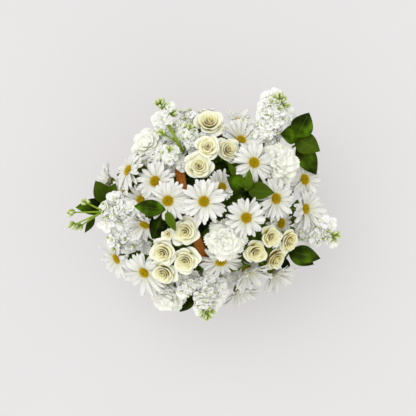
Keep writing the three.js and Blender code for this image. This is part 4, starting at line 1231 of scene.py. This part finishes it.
def add_floret(shape, size, place, dice):
    """A double floret: broad wavy petals lying open, smaller ones half up, and a crumpled middle."""
    for count, share, lift, broad, turn in FLORET_RINGS:
        for i in range(count):
            reach = size * share * dice.uniform(0.85, 1.12)
            end = size * (lift + dice.uniform(-0.12, 0.12))
            wide = size * broad * dice.uniform(0.85, 1.1)
            petal = ruffled_petal(reach, end, end + 0.06 * size, wide, size * 0.3, dice,
                                  rows=6, columns=9, waves=1.1, ruffle=0.075, cut=0)
            angle = (i + turn + dice.uniform(-0.2, 0.2)) / count * TURN
            shape.add(backed(petal, FLORET_PETAL_THICKNESS), STOCK_WHITE, dice.random(), place @ spun(angle))


def add_bud(shape, size, place, dice):
    profile = [(r * size * 0.5, z * size) for r, z in BUD_PROFILE]
    shape.add(turned_rows(profile, 8), BUD_GREEN, dice.random(), place)


def add_buds(shape, at, facing, count, wide, back, dice):
    """A cone of closed buds round a tip, from a little way back on the stem, the topmost the smallest."""
    tip = facing_matrix(at, facing)
    for i in range(count):
        share = i / (count - 1)
        rise = 6 * share - back * (1 - share)
        around = spun(i * GOLDEN_ANGLE) @ Matrix.Translation((wide * (1 - share) ** 0.7, 0, rise))
        add_bud(shape, 4.2 - 1.4 * share, tip @ around @ tipped((1 - share) * 0.9), dice)


def add_shoot(shape, start, tip, reach, open_share, dice):
    axis = tip - start
    length = np.linalg.norm(axis)
    axis /= length
    upright = facing_matrix(start, axis)
    florets = int(length * open_share / FLORET_SPACING) + FLORETS_AT_LEAST
    for i in range(florets):
        share = i / (florets - 1)
        size = reach * (0.57 - 0.12 * share) * dice.uniform(0.85, 1.12)
        out = reach * (0.56 - 0.32 * share) * dice.uniform(0.85, 1.15)
        rise = math.radians(16 + 50 * share + dice.uniform(-14, 14))
        at = (out, 0, -6 + share * open_share * length + dice.uniform(-2, 2))
        around = spun(i * GOLDEN_ANGLE + dice.uniform(-0.3, 0.3)) @ Matrix.Translation(at)
        roll = spun(dice.uniform(0, TURN))
        leaning = tipped(math.pi / 2 - rise)
        add_floret(shape, size, upright @ around @ leaning @ roll, dice)
        beside = spun(0.9) @ around @ Matrix.Translation((0.3 * size, 0, 2))
        add_bud(shape, dice.uniform(2.2, 3.4), upright @ beside @ leaning, dice)


def smooth_line(points, steps):
    """A line that runs smoothly through points, with so many steps between each two."""
    points = np.array(points, float)
    ends = np.concatenate([[2 * points[0] - points[1]], points, [2 * points[-1] - points[-2]]])
    line = []
    for before, start, end, after in zip(ends, ends[1:], ends[2:], ends[3:]):
        for t in np.arange(steps) / steps:
            bent = 2 * start + (end - before) * t + (2 * before - 5 * start + 4 * end - after) * t**2
            line.append((bent + (3 * start - before - 3 * end + after) * t**3) / 2)
    return np.array([*line, points[-1]])


def add_branchlet(shape, start, end, dice):
    """A thin side stem that bows upwards and ends in a few closed buds."""
    lift = np.array([0, 0, 0.12 * math.dist(start, end)])
    middle = (np.array(start) + np.array(end)) / 2 + lift
    line = smooth_line([start, middle, end], 3)
    shape.add(tube(line, np.linspace(1.5, 1.0, len(line)), 8), STEM_GREEN, 0.9)
    add_buds(shape, end, np.array(end) - middle, BRANCHLET_BUDS, 3, 1, dice)


def add_side_floret(shape, root, at, toward, size, dice):
    way = math.radians(toward)
    facing = (0.45 * math.cos(way), 0.45 * math.sin(way), 0.9)
    add_floret(shape, size, facing_matrix(at, facing, dice.uniform(0, TURN)), dice)
    shape.add(tube([root, at], [1.1, 0.9], 6), STEM_GREEN, 0.8)


def stock_stem(name, foot, shoots, seed):
    dice = random.Random(seed)
    shape = Shape(STOCK_WHITE, STEM_GREEN, BUD_GREEN, SOFT_LEAF)
    starts = [np.array(shoot[0], float) for shoot in shoots]
    stands = foam_point(starts) if foot is None else np.array([*foot, STEM_ENDS_AT], float)
    fork = stands + (np.mean(starts, axis=0) - stands) * 0.5 if len(shoots) > 1 else stands
    if len(shoots) > 1:
        shape.add(tube(np.linspace(stands, fork, 6), 2.4, 10), STEM_GREEN, 0.6)
    in_sight = name in STEM_RUNS
    for start, (_, tip, reach, open_share, buds) in zip(starts, shoots):
        tip = np.array(tip, float)
        add_shoot(shape, start, tip, reach, open_share, dice)
        axis = tip - start
        axis /= np.linalg.norm(axis)
        line = smooth_line([stands, *STEM_RUNS[name]], 4) if in_sight else neck(fork, start, axis, 0, 12)
        if buds:
            add_buds(shape, tip, axis, buds, 0.7 * buds, buds - 8, dice)
            line = np.concatenate([line, [tip + axis * 2]])
        shape.add(tube(line, np.linspace(3.1 if in_sight else 2.5, 1.6, len(line)), 10), STEM_GREEN, 0.75)
        for share in (0.3, 0.45) if in_sight else (0.3, 0.45, 0.6, 0.75):
            leaf = lobed_leaf(dice.uniform(32, 46), dice.uniform(8, 11), dice, 0)
            skin = backed(leaf, STOCK_LEAF_THICKNESS)
            way = dice.uniform(0, TURN)
            shape.add(skin, SOFT_LEAF, dice.random(), on_stem(line, share, way, dice.uniform(-0.1, 0.6)))
    for start, end in BRANCHLETS.get(name, []):
        add_branchlet(shape, start, end, dice)
    for at, toward, size in SIDE_FLORETS.get(name, []):
        add_side_floret(shape, starts[0], at, toward, size, dice)
    add_low_leaves(shape, line, 6, 1, dice)
    shape.build(name + "_florets", [name])


for i, (name, (foot, shoots)) in enumerate(STOCKS.items()):
    stock_stem(name, foot, shoots, 90 + i)


# ---- The leaves -------------------------------------------------------------------------------------
# Stems of glossy dark green foliage, three or four leaves to a stem. Each leaf is a pointed oval,
# folded a little along its pale midrib and arched from its root to its tip.

# For each stem its leaves: root, tip, width, and how young and light it is.
LEAFY_STEMS = {
    "leaves_back_right": [
        ((128, 88, 184), (154, 44, 182), 29, 0.1), ((123, 96, 192), (158, 77, 200), 31, 0.5),
        ((128, 99, 202), (102, 100, 211), 27, 0), ((125, 96, 206), (142, 130, 216), 32, 0),
    ],
    "leaves_left": [
        ((-141, 0, 148), (-187, -2, 154), 24, 0), ((-141, 5, 157), (-158, 36, 170), 26, 0.45),
        ((-139, 9, 166), (-129, 32, 180), 18, 0.45), ((-160, -16, 150), (-174, -38, 152), 10, 0.1),
    ],
    "leaves_crown_left": [
        ((-60, -10, 228), (-76, -46, 229), 25, 0), ((-57, -5, 257), (-100, 0, 257), 23, 0),
        ((-56, -7, 257), (-43, -34, 259), 13, 0.9),
    ],
    "leaves_crown_right": [
        ((53, 22, 236), (27, 40, 254), 23, 0.05), ((56, 23, 246), (92, 18, 259), 25, 0.5),
        ((56, 22, 250), (58, 50, 268), 13, 0.8), ((52, 24, 244), (29, 60, 246), 13, 0.5),
    ],
    "leaves_front_right": [
        ((112, -74, 152), (112, -94, 144), 13, 0), ((116, -66, 158), (152, -83, 158), 22, 0.1),
        ((118, -64, 166), (160, -74, 174), 26, 0.12),
    ],
    "leaves_front_left": [
        ((-22, -118, 128), (-62, -138, 116), 22, 0), ((-20, -124, 136), (8, -148, 136), 20, 0.1),
        ((-20, -128, 144), (-39, -151, 150), 18, 0),
    ],
}
BLADE_THICKNESS = 0.45
VEIN_WAVES = 62.0


def glossy_leaf():
    material, shader = start_material("glossy_leaf", 0.36, 0.025)
    across = across_of(material)
    midrib = ramp(material, across, [(0.455, 0.0), (0.5, 1.0), (0.545, 0.0)])
    off_midrib = sums(material, "ABSOLUTE", sums(material, "SUBTRACT", across, 0.5, held=False))
    slant = sums(material, "MULTIPLY", off_midrib, 0.6)
    run = sums(material, "SUBTRACT", along_of(material), slant, held=False)
    waves = sums(material, "SINE", sums(material, "MULTIPLY", run, VEIN_WAVES, held=False), held=False)
    streaks = ramp(material, waves, [(0.8, 0.0), (1.0, 1.0)])
    # Patches from near black to bright green: partly the leaf's own mottling, partly painted sheen and shade,
    # as the material itself has almost no shine.
    stops = [(0.36, 12, 17, 1), (0.47, 31, 44, 3), (0.58, 53, 76, 6), (0.68, 78, 114, 10)]
    mottle_and_painted_sheen = ramp(material, noise(material, 40), stops)
    green = mixed(material, tint_of(material), mottle_and_painted_sheen, colour(84, 108, 20))
    ribbed = mixed(material, sums(material, "MULTIPLY", midrib, 0.25), green, colour(104, 128, 40))
    streaked = mixed(material, sums(material, "MULTIPLY", streaks, 0.06), ribbed, colour(96, 120, 40))
    set_colour(material, shader, streaked)
    set_bump(material, shader, streaks, 0.25, 0.35)
    return material


GLOSSY_LEAF = glossy_leaf()


def glossy_blade(root, tip, width, dice):
    root, tip = np.array(root, float), np.array(tip, float)
    forward = tip - root
    length = np.linalg.norm(forward)
    forward /= length
    side = np.cross(forward, (0, 0, 1))
    side /= np.linalg.norm(side)
    normal = np.cross(side, forward)
    t = np.linspace(0, 1, 15)[:, None]
    u = np.linspace(1, -1, 9)[None, :]
    half = width / 2 * np.sin(math.pi * t**0.85) ** 0.9
    groove = 0.5 * np.exp(-((u / 0.12) ** 2))
    lift = 1.5 * np.abs(u) * half / (width / 2) + 3.2 * np.sin(math.pi * t) - groove
    lift = lift + 0.5 * np.sin(t * 10 + dice.uniform(0, TURN)) * u**2
    parts = np.broadcast_arrays(t * length, u * half, lift)
    along, across, up = [part[..., None] for part in parts]
    return root + along * forward + across * side + up * normal


def leafy_stem(name, blades, seed):
    dice = random.Random(seed)
    shape = Shape(GLOSSY_LEAF, STEM_GREEN)
    roots = [np.array(blade[0], float) for blade in blades]
    foot = foam_point([roots[0]])
    path = np.array([foot, foot + (roots[0] - foot) * 0.4, foot + (roots[0] - foot) * 0.75, *roots])
    shape.add(tube(path, [1.5] * (len(path) - 1) + [0.9]), STEM_GREEN, 0.2)
    for root, tip, width, young in blades:
        shape.add(backed(glossy_blade(root, tip, width, dice), BLADE_THICKNESS), GLOSSY_LEAF, young)
    shape.build(name + "_blades", [name])


for i, (name, blades) in enumerate(LEAFY_STEMS.items()):
    leafy_stem(name, blades, 120 + i)


# ---- The table, the light and the camera ------------------------------------------------------------
# A plain pale surface that is lit from below as well, which keeps the shadow faint, a broad soft light
# from the upper left, and the camera straight above, as the photograph was taken.

TABLE_REACH_METRES = 6
TABLE_GLOW = 0.51
CAMERA_ABOVE_METRES = 2.6
BLOOM_LEVEL_METRES = 0.2
VIEW_WIDTH_METRES = 0.582
VIEW_MIDDLE_METRES = (0.0014, -0.0028)
CAMERA_SENSOR_WIDTH = 36
ROOM_LIGHT = 0.82


def table():
    mesh = bpy.data.meshes.new("table")
    reach = TABLE_REACH_METRES
    corners = [(-reach, -reach, 0), (reach, -reach, 0), (reach, reach, 0), (-reach, reach, 0)]
    mesh.from_pydata(corners, [], [(0, 1, 2, 3)])
    material, shader = start_material("pale_table", 0.8, 0.0)
    stops = [(0.3, 160, 158, 159), (0.7, 163, 161, 162)]
    set_colour(material, shader, ramp(material, noise(material, 3), stops))
    shader.inputs["Emission Color"].default_value = colour(230, 228, 229)
    shader.inputs["Emission Strength"].default_value = TABLE_GLOW
    mesh.materials.append(material)
    floor = bpy.data.objects.new("table", mesh)
    bpy.context.scene.collection.objects.link(floor)


def soft_light(name, comes_from, width, power):
    """A broad, far light. Its width is in degrees as seen from the table."""
    lamp = bpy.data.lights.new(name, "SUN")
    lamp.angle = math.radians(width)
    lamp.energy = power
    light = bpy.data.objects.new(name, lamp)
    light.location = comes_from
    light.rotation_euler = (-Vector(comes_from)).to_track_quat("-Z", "Y").to_euler()
    bpy.context.scene.collection.objects.link(light)


table()
soft_light("window", (-1.0, 0.9, 2.4), 50, 1.15)
soft_light("white_wall", (0.4, -1.3, 1.6), 90, 0.3)

world = bpy.data.worlds.new("studio")
world.use_nodes = True
world.node_tree.nodes["Background"].inputs["Color"].default_value = colour(252, 252, 248)
world.node_tree.nodes["Background"].inputs["Strength"].default_value = ROOM_LIGHT
bpy.context.scene.world = world
bpy.context.scene.view_settings.view_transform = "Standard"

camera_data = bpy.data.cameras.new("camera")
camera_data.sensor_width = CAMERA_SENSOR_WIDTH
camera_data.lens = CAMERA_SENSOR_WIDTH * CAMERA_ABOVE_METRES / VIEW_WIDTH_METRES
camera = bpy.data.objects.new("camera", camera_data)
camera.location = (*VIEW_MIDDLE_METRES, BLOOM_LEVEL_METRES + CAMERA_ABOVE_METRES)
bpy.context.scene.collection.objects.link(camera)
bpy.context.scene.camera = camera
